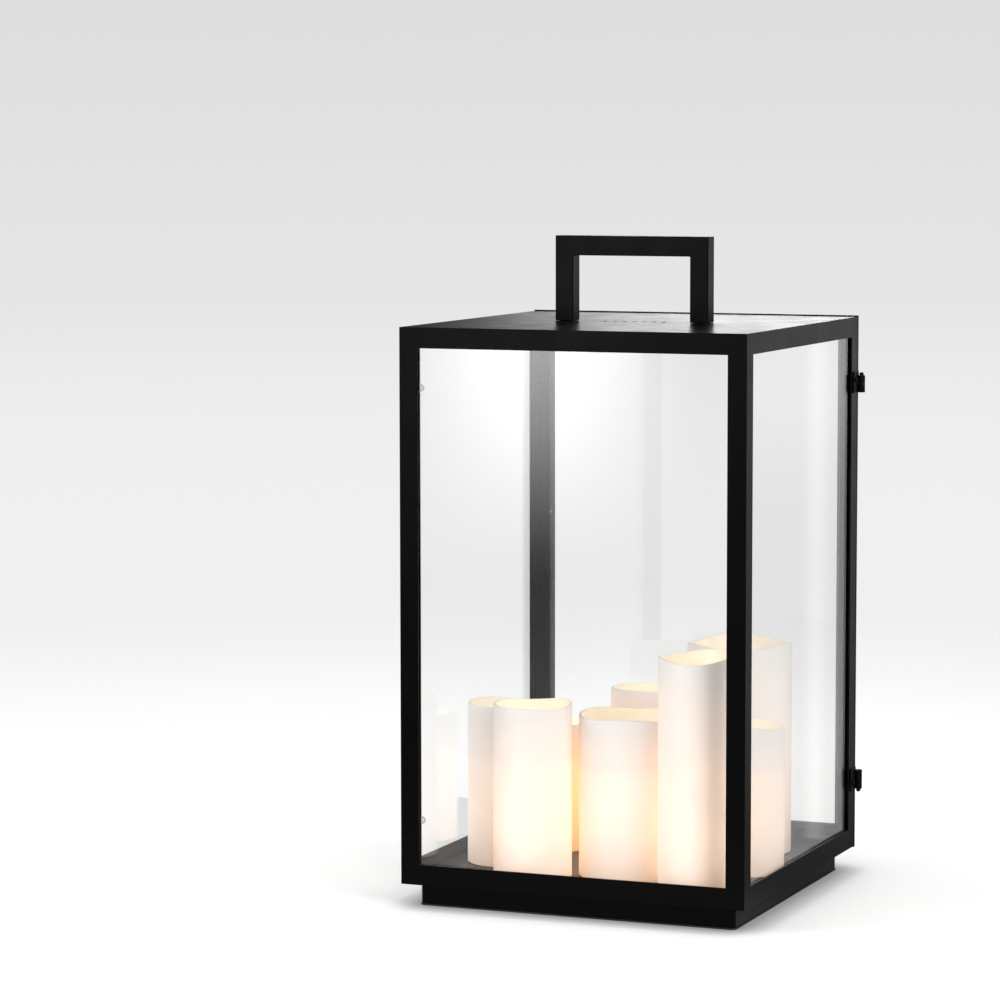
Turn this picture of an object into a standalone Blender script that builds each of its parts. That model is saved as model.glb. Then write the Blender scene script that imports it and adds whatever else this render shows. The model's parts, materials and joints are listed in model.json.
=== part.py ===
"""Square glass hurricane lantern with a rear door, a fixed bar handle and eight LED pillar candles.

Metres, +Z up, resting on z = 0. The front faces -Y, the door closes the rear (+Y) side
and its hinges are on the right-hand (+X) edge. Every separate physical piece is its own object.
"""

import math

import bmesh
import bpy
from mathutils import Matrix, Vector

# Clearance left between two pieces that touch.
GAP = 0.0003

# Overall body: a square box of folded and welded sheet steel on a recessed plinth.
HALF = 0.175
SHEET = 0.002
POST_WIDTH = 0.0188
RAIL_HEIGHT = 0.020
FRAME_BOTTOM = 0.0222
FRAME_TOP = 0.5621
REAR_RAIL_HEIGHT = 0.0161
RAIL_FLANGE = 0.0145

# Plinth and the protective pad under it.
PLINTH_HALF = 0.1609
PLINTH_CORNER = 0.005
PLINTH_SHEET = 0.002
PAD_HALF = 0.1616
PAD_THICKNESS = 0.0015

# Floor tray inside the glass.
FLOOR_TOP = 0.0288
TRAY_HALF = 0.1681

# Glass panes and the angles that clamp them in the corners.
PANE = 0.004
ANGLE_SHEET = 0.002
REAR_LEFT_SCREW_X = -0.1626
REAR_LEFT_SCREW_HEIGHTS = (0.501, 0.080)
REAR_RIGHT_SCREW_X = 0.1593
REAR_RIGHT_SCREW_HEIGHTS = (0.5112, 0.0715)
CLAMP_HEAD_RADIUS = 0.0037
CLAMP_HEAD_HEIGHT = 0.0024
CLAMP_SHANK_RADIUS = 0.0015
CLAMP_HOLE_RADIUS = 0.0018

# Dabs of clear silicone that show where the front pane meets the edge of its left angle.
DAB_HEIGHTS = (0.504, 0.0852)
DAB_REACH = 0.0047
DAB_HALF_LENGTH = 0.0037
DAB_DEPTH = 0.0020
DAB_ARC_STEPS = 12
DAB_RINGS = 4
# The small dab left on the edge of the door's pane: (radius, distance from the pane).
DOOR_DAB_X = -0.1541
DOOR_DAB_PROFILE = ((0.0014, 0.0), (0.0013, 0.0004), (0.0009, 0.0008), (0.0004, 0.0010))

# Square-bar handle standing on the top plate.
HANDLE_HALF_WIDTH = 0.0795
HANDLE_LEG = 0.0188
HANDLE_DEPTH = 0.018
HANDLE_BAR = 0.0194
HANDLE_TOP = 0.6461
HANDLE_BEVEL = 0.0005
HANDLE_SCREW_SHANK = 0.0024
HANDLE_SCREW_HOLE = 0.0028
HANDLE_SCREW_DEPTH = 0.015
HANDLE_HEAD_RADIUS = 0.0045
HANDLE_HEAD_HEIGHT = 0.0028

# Row of vent slots between the handle legs.
VENT_COUNT = 7
VENT_PITCH = 0.0102
VENT_WIDTH = 0.0028
VENT_LENGTH = 0.013

# Rear door: a flat steel frame laid over the rear of the body, with its pane bonded inside.
DOOR_INNER_Y = HALF + GAP
DOOR_OUTER_Y = 0.1795
DOOR_BOTTOM = 0.0212
DOOR_TOP = 0.5633
DOOR_MEMBER = 0.023
DOOR_PANE_HALF = 0.1555
DOOR_PANE_BOTTOM = 0.0393
DOOR_PANE_TOP = 0.5450
DOOR_PANE_INNER_Y = 0.1710

# Two-knuckle hinges whose barrels stand outside the right-hand rear edge.
HINGE_X = 0.1789
HINGE_Y = 0.1774
KNUCKLE_RADIUS = 0.0036
KNUCKLE_BORE = 0.0016
PIN_RADIUS = 0.0015
PIN_HEAD_RADIUS = 0.0023
PIN_HEAD_HEIGHT = 0.0028
LEAF = 0.0012
SIDE_LEAF_FRONT_Y = 0.1604
DOOR_LEAF_LEFT_X = 0.1570
LEAF_RELIEF = 0.0003
HINGE_SCREW_HEAD = 0.0026
HINGE_SCREW_HEAD_HEIGHT = 0.0015
HINGE_SCREW_SHANK = 0.0014
HINGE_SCREW_HOLE = 0.0018
SIDE_SCREW_Y = 0.1656
DOOR_SCREW_X = 0.1655
BACKING_LEFT_X = 0.1625
BACKING_RIGHT_X = 0.1657
BACKING_SHEET = 0.0012
BACKING_HEIGHT = 0.018
# Each hinge: its place, whether its pin is put in from above, and the z of its leaves, barrel and screws.
HINGES = (
    ("upper", True, (0.4859, 0.5073), (0.4859, 0.5030), 0.4992),
    ("lower", False, (0.0812, 0.1035), (0.0819, 0.1013), 0.0895),
)

# Pull knob and its countersunk screw, and the magnet that holds the door shut.
KNOB_X = -0.1635
KNOB_Z = 0.3540
KNOB_BALL_RADIUS = 0.0060
KNOB_BALL_DISTANCE = 0.0130
KNOB_BALL_END = math.radians(172)
KNOB_BALL_STEPS = 8
KNOB_BASE_RADIUS = 0.0044
KNOB_BASE_TOP_RADIUS = 0.0035
KNOB_BASE_EDGE = 0.0009
KNOB_BASE_HEIGHT = 0.0015
KNOB_NECK_RADIUS = 0.0030
KNOB_NECK_START = 0.0021
KNOB_BORE_RADIUS = 0.0016
KNOB_BORE_DEPTH = 0.0105
KNOB_SCREW_HEAD = 0.0022
KNOB_SCREW_HEAD_HEIGHT = 0.0015
KNOB_SCREW_SHANK = 0.0013
KNOB_SCREW_LENGTH = 0.0120
KNOB_SCREW_CLEARANCE = 0.0003
MAGNET_X = -0.1660
MAGNET_RADIUS = 0.0040
MAGNET_HOLE_RADIUS = 0.0043

# LED pillar candles: name, centre x, centre y, radius, mean rim height, and the rim's
# waves as (times round the rim, height, angle of a crest in degrees).
SMALL_RADIUS = 0.0383
LARGE_RADIUS = 0.0508
CANDLES = (
    ("candle_rear_left", -0.1114, -0.0589, SMALL_RADIUS, 0.1870,
     ((1, 0.0015, -152), (2, 0.0008, -33))),
    ("candle_front_left", -0.0590, -0.1200, SMALL_RADIUS, 0.1978,
     ((1, 0.0005, 106), (2, 0.0010, 38), (3, 0.0008, 46))),
    ("candle_left_hidden", -0.0946, 0.0330, SMALL_RADIUS, 0.1580, ((2, 0.0010, 20),)),
    ("candle_centre", 0.0272, -0.0787, LARGE_RADIUS, 0.1862,
     ((1, 0.0006, 180), (3, 0.0013, 43))),
    ("candle_rear_centre", 0.0063, 0.0300, SMALL_RADIUS, 0.1971,
     ((1, 0.0006, -44), (2, 0.0006, 59))),
    ("candle_front_right", 0.1100, -0.1200, SMALL_RADIUS, 0.2522,
     ((1, 0.0023, 66), (2, 0.0013, 28), (3, 0.0012, -26))),
    ("candle_rear_right", 0.0820, 0.0813, LARGE_RADIUS, 0.2393,
     ((1, 0.0007, 82), (3, 0.0019, -10))),
    ("candle_right", 0.1216, -0.0218, SMALL_RADIUS, 0.1735,
     ((1, 0.0020, -102), (2, 0.0018, 84))),
)
CANDLE_WALL = 0.0032
CANDLE_FOOT_BEVEL = 0.0012
RIM_OUTER_DROP = 0.0024
RIM_CREST_DROP = 0.0008
RIM_CREST_INSET = 0.0003
RIM_INNER_DROP = 0.0012
RECESS_DEPTH = 0.030
RECESS_HALFWAY = 0.012
RECESS_HALFWAY_WAVE = 0.6
RECESS_TAPER = 0.0020
RECESS_FLOOR_ROUNDING = 0.008
CANDLE_STEPS = 40

# A pan head as (share of its radius, share of its height), from its crown to its underside.
PAN_HEAD = ((0.55, 0.0), (0.88, 0.30), (1.0, 0.75), (1.0, 1.0))

# Facets round a small turned piece, and round a corner of the plinth.
ROUND_STEPS = 20
CORNER_STEPS = 5
SMOOTH_ANGLE = math.radians(35)
MERGE = 0.000002

BODY_BACK_Y = HALF - SHEET
RETAINER_BOTTOM = FLOOR_TOP + GAP
PANE_OUTER = HALF - SHEET - GAP
PANE_INNER = PANE_OUTER - PANE
ANGLE_OUTER = PANE_INNER - GAP
ANGLE_INNER = ANGLE_OUTER - ANGLE_SHEET
OPENING_HALF = HALF - POST_WIDTH
TOP_FLANGE_TOP = FRAME_TOP - SHEET - GAP
TOP_FLANGE_BOTTOM = TOP_FLANGE_TOP - SHEET
BOTTOM_FLANGE_TOP = FRAME_BOTTOM + SHEET


def clear_scene():
    for obj in list(bpy.data.objects):
        bpy.data.objects.remove(obj, do_unlink=True)


def make_material(name, colour, roughness, metallic=0.0, transmission=0.0, ior=1.5):
    material = bpy.data.materials.new(name)
    material.use_nodes = True
    shader = material.node_tree.nodes["Principled BSDF"]
    shader.inputs["Base Color"].default_value = (*colour, 1.0)
    shader.inputs["Roughness"].default_value = roughness
    shader.inputs["Metallic"].default_value = metallic
    shader.inputs["Transmission Weight"].default_value = transmission
    shader.inputs["IOR"].default_value = ior
    material.diffuse_color = (*colour, 1.0)
    material.roughness = roughness
    material.metallic = metallic
    return material


def powder_coat(name):
    return make_material(name, (0.012, 0.012, 0.013), 0.42)


def clear_glass(name):
    return make_material(name, (0.93, 0.96, 0.95), 0.02, transmission=1.0, ior=1.5)


def ivory_wax(name):
    return make_material(name, (0.90, 0.80, 0.68), 0.55)


def black_pad(name):
    return make_material(name, (0.015, 0.015, 0.015), 0.9)


def zinc_steel(name):
    return make_material(name, (0.50, 0.50, 0.50), 0.35, metallic=1.0)


def blackened_steel(name):
    return make_material(name, (0.020, 0.020, 0.021), 0.38, metallic=0.6)


def magnet_nickel(name):
    return make_material(name, (0.62, 0.61, 0.58), 0.25, metallic=1.0)


def clear_silicone(name):
    return make_material(name, (0.85, 0.86, 0.86), 0.2, transmission=1.0, ior=1.41)


def add_object(name, build, make, smooth=False):
    """Turns a filled bmesh into a named object with a material of its own."""
    bmesh.ops.recalc_face_normals(build, faces=build.faces)
    mesh = bpy.data.meshes.new(name)
    build.to_mesh(mesh)
    build.free()
    obj = bpy.data.objects.new(name, mesh)
    bpy.context.scene.collection.objects.link(obj)
    mesh.materials.append(make(name + "_material"))
    if smooth:
        shade_round(obj)
    return obj


def shade_round(obj):
    for face in obj.data.polygons:
        face.use_smooth = True
    obj.data.set_sharp_from_angle(angle=SMOOTH_ANGLE)


def prism_mesh(outline, low, high):
    """A closed prism from a counter-clockwise outline in x and y."""
    build = bmesh.new()
    bottom = [build.verts.new((x, y, low)) for x, y in outline]
    top = [build.verts.new((x, y, high)) for x, y in outline]
    build.faces.new(list(reversed(bottom)))
    build.faces.new(top)
    count = len(outline)
    for index in range(count):
        after = (index + 1) % count
        build.faces.new((bottom[index], bottom[after], top[after], top[index]))
    return build


def rectangle(x_low, x_high, y_low, y_high):
    return [(x_low, y_low), (x_high, y_low), (x_high, y_high), (x_low, y_high)]


def box(name, x_range, y_range, z_range, make):
    return add_object(name, prism_mesh(rectangle(*x_range, *y_range), *z_range), make)


def circle(radius, steps=ROUND_STEPS):
    return [
        (radius * math.cos(math.tau * step / steps), radius * math.sin(math.tau * step / steps))
        for step in range(steps)
    ]


def towards(axis):
    """A rotation that carries +Z to the given axis."""
    return Vector((0.0, 0.0, 1.0)).rotation_difference(Vector(axis)).to_matrix().to_4x4()


def turned_mesh(profile, start, axis, steps=ROUND_STEPS):
    """A closed turned solid: profile is (radius, distance) along the axis, its ends capped flat."""
    build = bmesh.new()
    rings = []
    for radius, distance in profile:
        rings.append([build.verts.new((x, y, distance)) for x, y in circle(radius, steps)])
    build.faces.new(list(reversed(rings[0])))
    build.faces.new(rings[-1])
    for lower, upper in zip(rings, rings[1:]):
        for index in range(steps):
            after = (index + 1) % steps
            build.faces.new((lower[index], lower[after], upper[after], upper[index]))
    build.transform(Matrix.Translation(Vector(start)) @ towards(axis))
    return build


def turned(name, profile, start, axis, make):
    return add_object(name, turned_mesh(profile, start, axis), make, smooth=True)


def headed_pin(name, seat, axis, head, shank, make):
    """A screw or pin with a pan head. Its head's underside lies at seat and its shank points along axis;
    head and shank are each (radius, length)."""
    head_radius, head_height = head
    shank_radius, shank_length = shank
    way = Vector(axis)
    profile = [(share * head_radius, height * head_height) for share, height in PAN_HEAD]
    profile += [(shank_radius, head_height), (shank_radius, head_height + shank_length)]
    return turned(name, profile, Vector(seat) - way * head_height, way, make)


def evaluate(obj):
    """Bakes the object's modifiers into its mesh, as triangles without duplicate points."""
    graph = bpy.context.evaluated_depsgraph_get()
    baked = bpy.data.meshes.new_from_object(obj.evaluated_get(graph))
    obj.modifiers.clear()
    build = bmesh.new()
    build.from_mesh(baked)
    bmesh.ops.remove_doubles(build, verts=build.verts, dist=MERGE)
    bmesh.ops.triangulate(build, faces=build.faces)
    build.to_mesh(baked)
    build.free()
    obj.data = baked


def combine(obj, builds, operation):
    """Applies one exact Boolean for each of the tool meshes, and removes the tools."""
    for build in builds:
        tool = add_object(obj.name + "_tool", build, black_pad)
        modifier = obj.modifiers.new("Boolean", "BOOLEAN")
        modifier.operation = operation
        modifier.solver = "EXACT"
        modifier.object = tool
        bpy.context.view_layer.update()
        evaluate(obj)
        material = tool.data.materials[0]
        bpy.data.objects.remove(tool, do_unlink=True)
        bpy.data.materials.remove(material)
    while len(obj.data.materials) > 1:
        obj.data.materials.pop(index=len(obj.data.materials) - 1)
    for face in obj.data.polygons:
        face.material_index = 0


def bore(obj, radius, start, end):
    """Cuts a round hole between two points."""
    run = Vector(end) - Vector(start)
    build = turned_mesh(((radius, 0.0), (radius, run.length)), start, run.normalized())
    combine(obj, [build], "DIFFERENCE")


def angle_outline(corner, x_end, y_end, thickness):
    """An L outline with its outer corner at corner and its legs ending at x_end and y_end."""
    corner_x, corner_y = corner
    x_way = math.copysign(1.0, x_end - corner_x)
    y_way = math.copysign(1.0, y_end - corner_y)
    inner_x = corner_x + x_way * thickness
    inner_y = corner_y + y_way * thickness
    outline = [
        (corner_x, corner_y),
        (x_end, corner_y),
        (x_end, inner_y),
        (inner_x, inner_y),
        (inner_x, y_end),
        (corner_x, y_end),
    ]
    if x_way * y_way < 0:
        outline.reverse()
    return outline


def rounded_square(half, radius):
    outline = []
    for quarter in range(4):
        centre_angle = math.pi / 4 + quarter * math.pi / 2
        centre_x = math.copysign(half - radius, math.cos(centre_angle))
        centre_y = math.copysign(half - radius, math.sin(centre_angle))
        for step in range(CORNER_STEPS + 1):
            angle = quarter * math.pi / 2 + step / CORNER_STEPS * math.pi / 2
            outline.append((centre_x + radius * math.cos(angle), centre_y + radius * math.sin(angle)))
    return outline


def make_base():
    box_low = PAD_THICKNESS + GAP
    box_high = FRAME_BOTTOM - GAP
    pad = prism_mesh(rounded_square(PAD_HALF, PLINTH_CORNER + PAD_HALF - PLINTH_HALF), 0.0, PAD_THICKNESS)
    add_object("base_pad", pad, black_pad)
    plinth = add_object(
        "plinth", prism_mesh(rounded_square(PLINTH_HALF, PLINTH_CORNER), box_low, box_high), powder_coat
    )
    hollow_half = PLINTH_HALF - PLINTH_SHEET
    hollow = prism_mesh(
        rounded_square(hollow_half, PLINTH_CORNER - PLINTH_SHEET),
        box_low - PLINTH_SHEET,
        box_high - PLINTH_SHEET,
    )
    combine(plinth, [hollow], "DIFFERENCE")


def make_floor():
    tray = box(
        "floor_tray",
        (-TRAY_HALF, TRAY_HALF),
        (-TRAY_HALF, TRAY_HALF),
        (BOTTOM_FLANGE_TOP + GAP, FLOOR_TOP),
        powder_coat,
    )
    inside = TRAY_HALF - SHEET
    hollow = prism_mesh(rectangle(-inside, inside, -inside, inside), FRAME_BOTTOM, FLOOR_TOP - SHEET)
    combine(tray, [hollow], "DIFFERENCE")


def make_posts():
    posts = {}
    for side, x_sign in (("left", -1), ("right", 1)):
        for end, y_sign in (("front", -1), ("rear", 1)):
            outline = angle_outline(
                (x_sign * HALF, y_sign * HALF),
                x_sign * OPENING_HALF,
                y_sign * OPENING_HALF,
                SHEET,
            )
            name = f"post_{end}_{side}"
            posts[name] = add_object(name, prism_mesh(outline, FRAME_BOTTOM, FRAME_TOP), powder_coat)
    return posts


def cut_posts(posts):
    """Holes for the screws and the magnet that go into the rear posts."""
    for name, centre_x, heights in (
        ("post_rear_left", REAR_LEFT_SCREW_X, REAR_LEFT_SCREW_HEIGHTS),
        ("post_rear_right", REAR_RIGHT_SCREW_X, REAR_RIGHT_SCREW_HEIGHTS),
    ):
        for height in heights:
            start = (centre_x, BODY_BACK_Y - SHEET, height)
            bore(posts[name], CLAMP_HOLE_RADIUS, start, (centre_x, HALF + SHEET, height))
    bore(
        posts["post_rear_left"],
        MAGNET_HOLE_RADIUS,
        (MAGNET_X, BODY_BACK_Y - SHEET, KNOB_Z),
        (MAGNET_X, HALF + SHEET, KNOB_Z),
    )
    for _, _, _, _, height in HINGES:
        start = (HALF - 2 * SHEET, SIDE_SCREW_Y, height)
        bore(posts["post_rear_right"], HINGE_SCREW_HOLE, start, (HALF + SHEET, SIDE_SCREW_Y, height))


def rail_profile(level, height):
    """The section of a rail as (distance in from the outer face, z)."""
    if level == "top":
        return [
            (0.0, FRAME_TOP - height),
            (SHEET, FRAME_TOP - height),
            (SHEET, TOP_FLANGE_BOTTOM),
            (RAIL_FLANGE, TOP_FLANGE_BOTTOM),
            (RAIL_FLANGE, TOP_FLANGE_TOP),
            (SHEET, TOP_FLANGE_TOP),
            (SHEET, FRAME_TOP),
            (0.0, FRAME_TOP),
        ]
    return [
        (0.0, FRAME_BOTTOM),
        (RAIL_FLANGE, FRAME_BOTTOM),
        (RAIL_FLANGE, BOTTOM_FLANGE_TOP),
        (SHEET, BOTTOM_FLANGE_TOP),
        (SHEET, FRAME_BOTTOM + height),
        (0.0, FRAME_BOTTOM + height),
    ]


def make_rails():
    """Four rails at the top and four at the bottom, each running between two posts."""
    length = OPENING_HALF - GAP
    for level in ("top", "bottom"):
        for side, angle in (("front", 0), ("right", 90), ("rear", 180), ("left", 270)):
            height = REAR_RAIL_HEIGHT if side == "rear" else RAIL_HEIGHT
            section = rail_profile(level, height)
            build = bmesh.new()
            ends = []
            for x in (-length, length):
                ends.append([build.verts.new((x, -HALF + inward, z)) for inward, z in section])
            build.faces.new(ends[0])
            build.faces.new(list(reversed(ends[1])))
            count = len(section)
            for index in range(count):
                after = (index + 1) % count
                build.faces.new((ends[0][index], ends[1][index], ends[1][after], ends[0][after]))
            build.transform(Matrix.Rotation(math.radians(angle), 4, "Z"))
            add_object(f"{level}_rail_{side}", build, powder_coat)


def slot_outline(centre_x, width, length):
    """A round-ended slot that runs front to rear."""
    radius = width / 2
    straight = length / 2 - radius
    outline = []
    for step in range(CORNER_STEPS * 2 + 1):
        angle = step / (CORNER_STEPS * 2) * math.pi
        outline.append((centre_x + radius * math.cos(angle), straight + radius * math.sin(angle)))
    for step in range(CORNER_STEPS * 2 + 1):
        angle = math.pi + step / (CORNER_STEPS * 2) * math.pi
        outline.append((centre_x + radius * math.cos(angle), -straight + radius * math.sin(angle)))
    return outline


def make_top_plate():
    edge = PANE_OUTER
    low = FRAME_TOP - SHEET
    plate = box("top_plate", (-edge, edge), (-edge, edge), (low, FRAME_TOP), powder_coat)
    slots = []
    for index in range(VENT_COUNT):
        centre_x = (index - (VENT_COUNT - 1) / 2) * VENT_PITCH
        outline = slot_outline(centre_x, VENT_WIDTH, VENT_LENGTH)
        slots.append(prism_mesh(outline, low - SHEET, FRAME_TOP + SHEET))
    combine(plate, slots, "DIFFERENCE")
    for x_sign in (-1, 1):
        leg_x = x_sign * (HANDLE_HALF_WIDTH - HANDLE_LEG / 2)
        bore(plate, HANDLE_SCREW_HOLE, (leg_x, 0.0, low - SHEET), (leg_x, 0.0, FRAME_TOP + SHEET))


def make_handle():
    low = FRAME_TOP + GAP
    inner = HANDLE_HALF_WIDTH - HANDLE_LEG
    under = HANDLE_TOP - HANDLE_BAR
    outline = [
        (-HANDLE_HALF_WIDTH, low),
        (-inner, low),
        (-inner, under),
        (inner, under),
        (inner, low),
        (HANDLE_HALF_WIDTH, low),
        (HANDLE_HALF_WIDTH, HANDLE_TOP),
        (-HANDLE_HALF_WIDTH, HANDLE_TOP),
    ]
    build = prism_mesh(outline, -HANDLE_DEPTH / 2, HANDLE_DEPTH / 2)
    build.transform(Matrix.Rotation(math.radians(90), 4, "X"))
    handle = add_object("handle", build, powder_coat)
    bevel = handle.modifiers.new("Bevel", "BEVEL")
    bevel.width = HANDLE_BEVEL
    bevel.segments = 1
    bevel.limit_method = "ANGLE"
    bpy.context.view_layer.update()
    evaluate(handle)
    for side, x_sign in (("left", -1), ("right", 1)):
        leg_x = x_sign * (HANDLE_HALF_WIDTH - HANDLE_LEG / 2)
        bore(handle, HANDLE_SCREW_HOLE, (leg_x, 0.0, low - SHEET), (leg_x, 0.0, low + HANDLE_SCREW_DEPTH))
        headed_pin(
            f"handle_screw_{side}",
            (leg_x, 0.0, FRAME_TOP - SHEET - GAP),
            (0, 0, 1),
            (HANDLE_HEAD_RADIUS, HANDLE_HEAD_HEIGHT),
            (HANDLE_SCREW_SHANK, SHEET + HANDLE_SCREW_DEPTH - 3 * GAP),
            zinc_steel,
        )


def make_panes():
    low = BOTTOM_FLANGE_TOP + GAP
    high = TOP_FLANGE_BOTTOM - GAP
    front_range = (-PANE_OUTER, PANE_OUTER)
    box("glass_front", front_range, (-PANE_OUTER, -PANE_INNER), (low, high), clear_glass)
    side_range = (-ANGLE_OUTER, PANE_OUTER)
    box("glass_left", (-PANE_OUTER, -PANE_INNER), side_range, (low, high), clear_glass)
    box("glass_right", (PANE_INNER, PANE_OUTER), side_range, (low, high), clear_glass)


def make_dab(name, height):
    """A quarter of an ellipsoid that lies in the corner between the front pane and the left angle's edge."""
    edge = GAP - OPENING_HALF
    build = bmesh.new()
    rings = []
    for ring in range(DAB_RINGS):
        rise = ring / DAB_RINGS * math.pi / 2
        loop = []
        for step in range(DAB_ARC_STEPS + 1):
            turn = (step / DAB_ARC_STEPS - 0.5) * math.pi
            x = edge + DAB_REACH * math.cos(rise) * math.cos(turn)
            z = height + DAB_HALF_LENGTH * math.cos(rise) * math.sin(turn)
            loop.append(build.verts.new((x, -ANGLE_OUTER + DAB_DEPTH * math.sin(rise), z)))
        rings.append(loop)
    crown = build.verts.new((edge, -ANGLE_OUTER + DAB_DEPTH, height))
    for lower, upper in zip(rings, rings[1:]):
        for step in range(DAB_ARC_STEPS):
            build.faces.new((lower[step], lower[step + 1], upper[step + 1], upper[step]))
    for step in range(DAB_ARC_STEPS):
        build.faces.new((rings[-1][step], rings[-1][step + 1], crown))
    build.faces.new(rings[0])
    build.faces.new([loop[0] for loop in rings] + [crown] + [loop[-1] for loop in reversed(rings)])
    add_object(name, build, clear_silicone, smooth=True)


def make_retainers():
    """Corner angles that hold the panes: the front pair bed them in silicone, the rear pair are screwed."""
    top = TOP_FLANGE_BOTTOM - GAP
    for place, height in zip(("upper", "lower"), DAB_HEIGHTS):
        make_dab(f"silicone_dab_left_{place}", height)
    for side, x_sign in (("left", -1), ("right", 1)):
        outline = angle_outline(
            (x_sign * ANGLE_OUTER, -ANGLE_OUTER), x_sign * OPENING_HALF, -OPENING_HALF, ANGLE_SHEET
        )
        add_object(f"retainer_front_{side}", prism_mesh(outline, RETAINER_BOTTOM, top), powder_coat)
        rear_outer = BODY_BACK_Y - GAP
        rear_inner = rear_outer - ANGLE_SHEET
        outline = angle_outline(
            (x_sign * ANGLE_OUTER, rear_outer), x_sign * OPENING_HALF, OPENING_HALF, ANGLE_SHEET
        )
        name = f"retainer_rear_{side}"
        angle = add_object(name, prism_mesh(outline, RETAINER_BOTTOM, top), powder_coat)
        centre_x = REAR_LEFT_SCREW_X if side == "left" else REAR_RIGHT_SCREW_X
        heights = REAR_LEFT_SCREW_HEIGHTS if side == "left" else REAR_RIGHT_SCREW_HEIGHTS
        for place, height in zip(("upper", "lower"), heights):
            start = (centre_x, rear_inner - SHEET, height)
            bore(angle, CLAMP_HOLE_RADIUS, start, (centre_x, HALF + SHEET, height))
            head_y = rear_inner - GAP
            headed_pin(
                f"clamp_screw_{side}_{place}",
                (centre_x, head_y, height),
                (0, 1, 0),
                (CLAMP_HEAD_RADIUS, CLAMP_HEAD_HEIGHT),
                (CLAMP_SHANK_RADIUS, HALF - head_y - GAP),
                blackened_steel,
            )


def hinge_screw(name, seat, axis, length):
    head = (HINGE_SCREW_HEAD, HINGE_SCREW_HEAD_HEIGHT)
    return headed_pin(name, seat, axis, head, (HINGE_SCREW_SHANK, length), blackened_steel)


def knuckle_mesh(low, high):
    profile = ((KNUCKLE_RADIUS, 0.0), (KNUCKLE_RADIUS, high - low))
    return turned_mesh(profile, (HINGE_X, HINGE_Y, low), (0, 0, 1))


def make_hinge(place, pin_up, leaf_z, barrel_z, screw_z):
    """A two-knuckle hinge: one leaf on the right side, the other on the rear of the door."""
    low, high = leaf_z
    barrel_low, barrel_high = barrel_z
    middle = (barrel_low + barrel_high) / 2
    upper_half = (middle + GAP / 2, barrel_high)
    lower_half = (barrel_low, middle - GAP / 2)
    door_half, body_half = (upper_half, lower_half) if pin_up else (lower_half, upper_half)
    bore_low = (HINGE_X, HINGE_Y, low - SHEET)
    bore_high = (HINGE_X, HINGE_Y, high + SHEET)

    leaf_x = (HALF + GAP, HALF + GAP + LEAF)
    relief_y = HINGE_Y - KNUCKLE_RADIUS - LEAF_RELIEF
    side_leaf = box(
        f"hinge_leaf_body_{place}", leaf_x, (SIDE_LEAF_FRONT_Y, relief_y), (low, high), blackened_steel
    )
    root = prism_mesh(rectangle(*leaf_x, relief_y - LEAF, HINGE_Y), *body_half)
    combine(side_leaf, [root, knuckle_mesh(*body_half)], "UNION")
    bore(side_leaf, KNUCKLE_BORE, bore_low, bore_high)
    start = (HALF - SHEET, SIDE_SCREW_Y, screw_z)
    bore(side_leaf, HINGE_SCREW_HOLE, start, (HALF + 2 * SHEET, SIDE_SCREW_Y, screw_z))
    shade_round(side_leaf)
    hinge_screw(
        f"hinge_screw_body_{place}",
        (HALF + 2 * GAP + LEAF, SIDE_SCREW_Y, screw_z),
        (-1, 0, 0),
        LEAF + SHEET + GAP,
    )

    leaf_y = (DOOR_OUTER_Y + GAP, DOOR_OUTER_Y + GAP + LEAF)
    relief_x = HINGE_X - KNUCKLE_RADIUS - LEAF_RELIEF
    door_leaf = box(
        f"hinge_leaf_door_{place}", (DOOR_LEAF_LEFT_X, relief_x), leaf_y, (low, high), blackened_steel
    )
    root = prism_mesh(rectangle(relief_x - LEAF, HINGE_X, *leaf_y), *door_half)
    combine(door_leaf, [root, knuckle_mesh(*door_half)], "UNION")
    bore(door_leaf, KNUCKLE_BORE, bore_low, bore_high)
    start = (DOOR_SCREW_X, DOOR_OUTER_Y - SHEET, screw_z)
    bore(door_leaf, HINGE_SCREW_HOLE, start, (DOOR_SCREW_X, DOOR_OUTER_Y + 2 * SHEET, screw_z))
    shade_round(door_leaf)
    door_screw = hinge_screw(
        f"hinge_screw_door_{place}",
        (DOOR_SCREW_X, DOOR_OUTER_Y + 2 * GAP + LEAF, screw_z),
        (0, -1, 0),
        LEAF + GAP + DOOR_OUTER_Y - DOOR_INNER_Y,
    )

    head_seat = barrel_high + GAP if pin_up else barrel_low - GAP
    headed_pin(
        f"hinge_pin_{place}",
        (HINGE_X, HINGE_Y, head_seat),
        (0, 0, -1 if pin_up else 1),
        (PIN_HEAD_RADIUS, PIN_HEAD_HEIGHT),
        (PIN_RADIUS, GAP + barrel_high - barrel_low),
        blackened_steel,
    )

    plate_back = BODY_BACK_Y - GAP - ANGLE_SHEET - GAP
    plate_middle = (low + high) / 2
    box(
        f"hinge_backing_{place}",
        (BACKING_LEFT_X, BACKING_RIGHT_X),
        (plate_back - BACKING_SHEET, plate_back),
        (plate_middle - BACKING_HEIGHT / 2, plate_middle + BACKING_HEIGHT / 2),
        blackened_steel,
    )
    return [door_leaf, door_screw]


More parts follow.
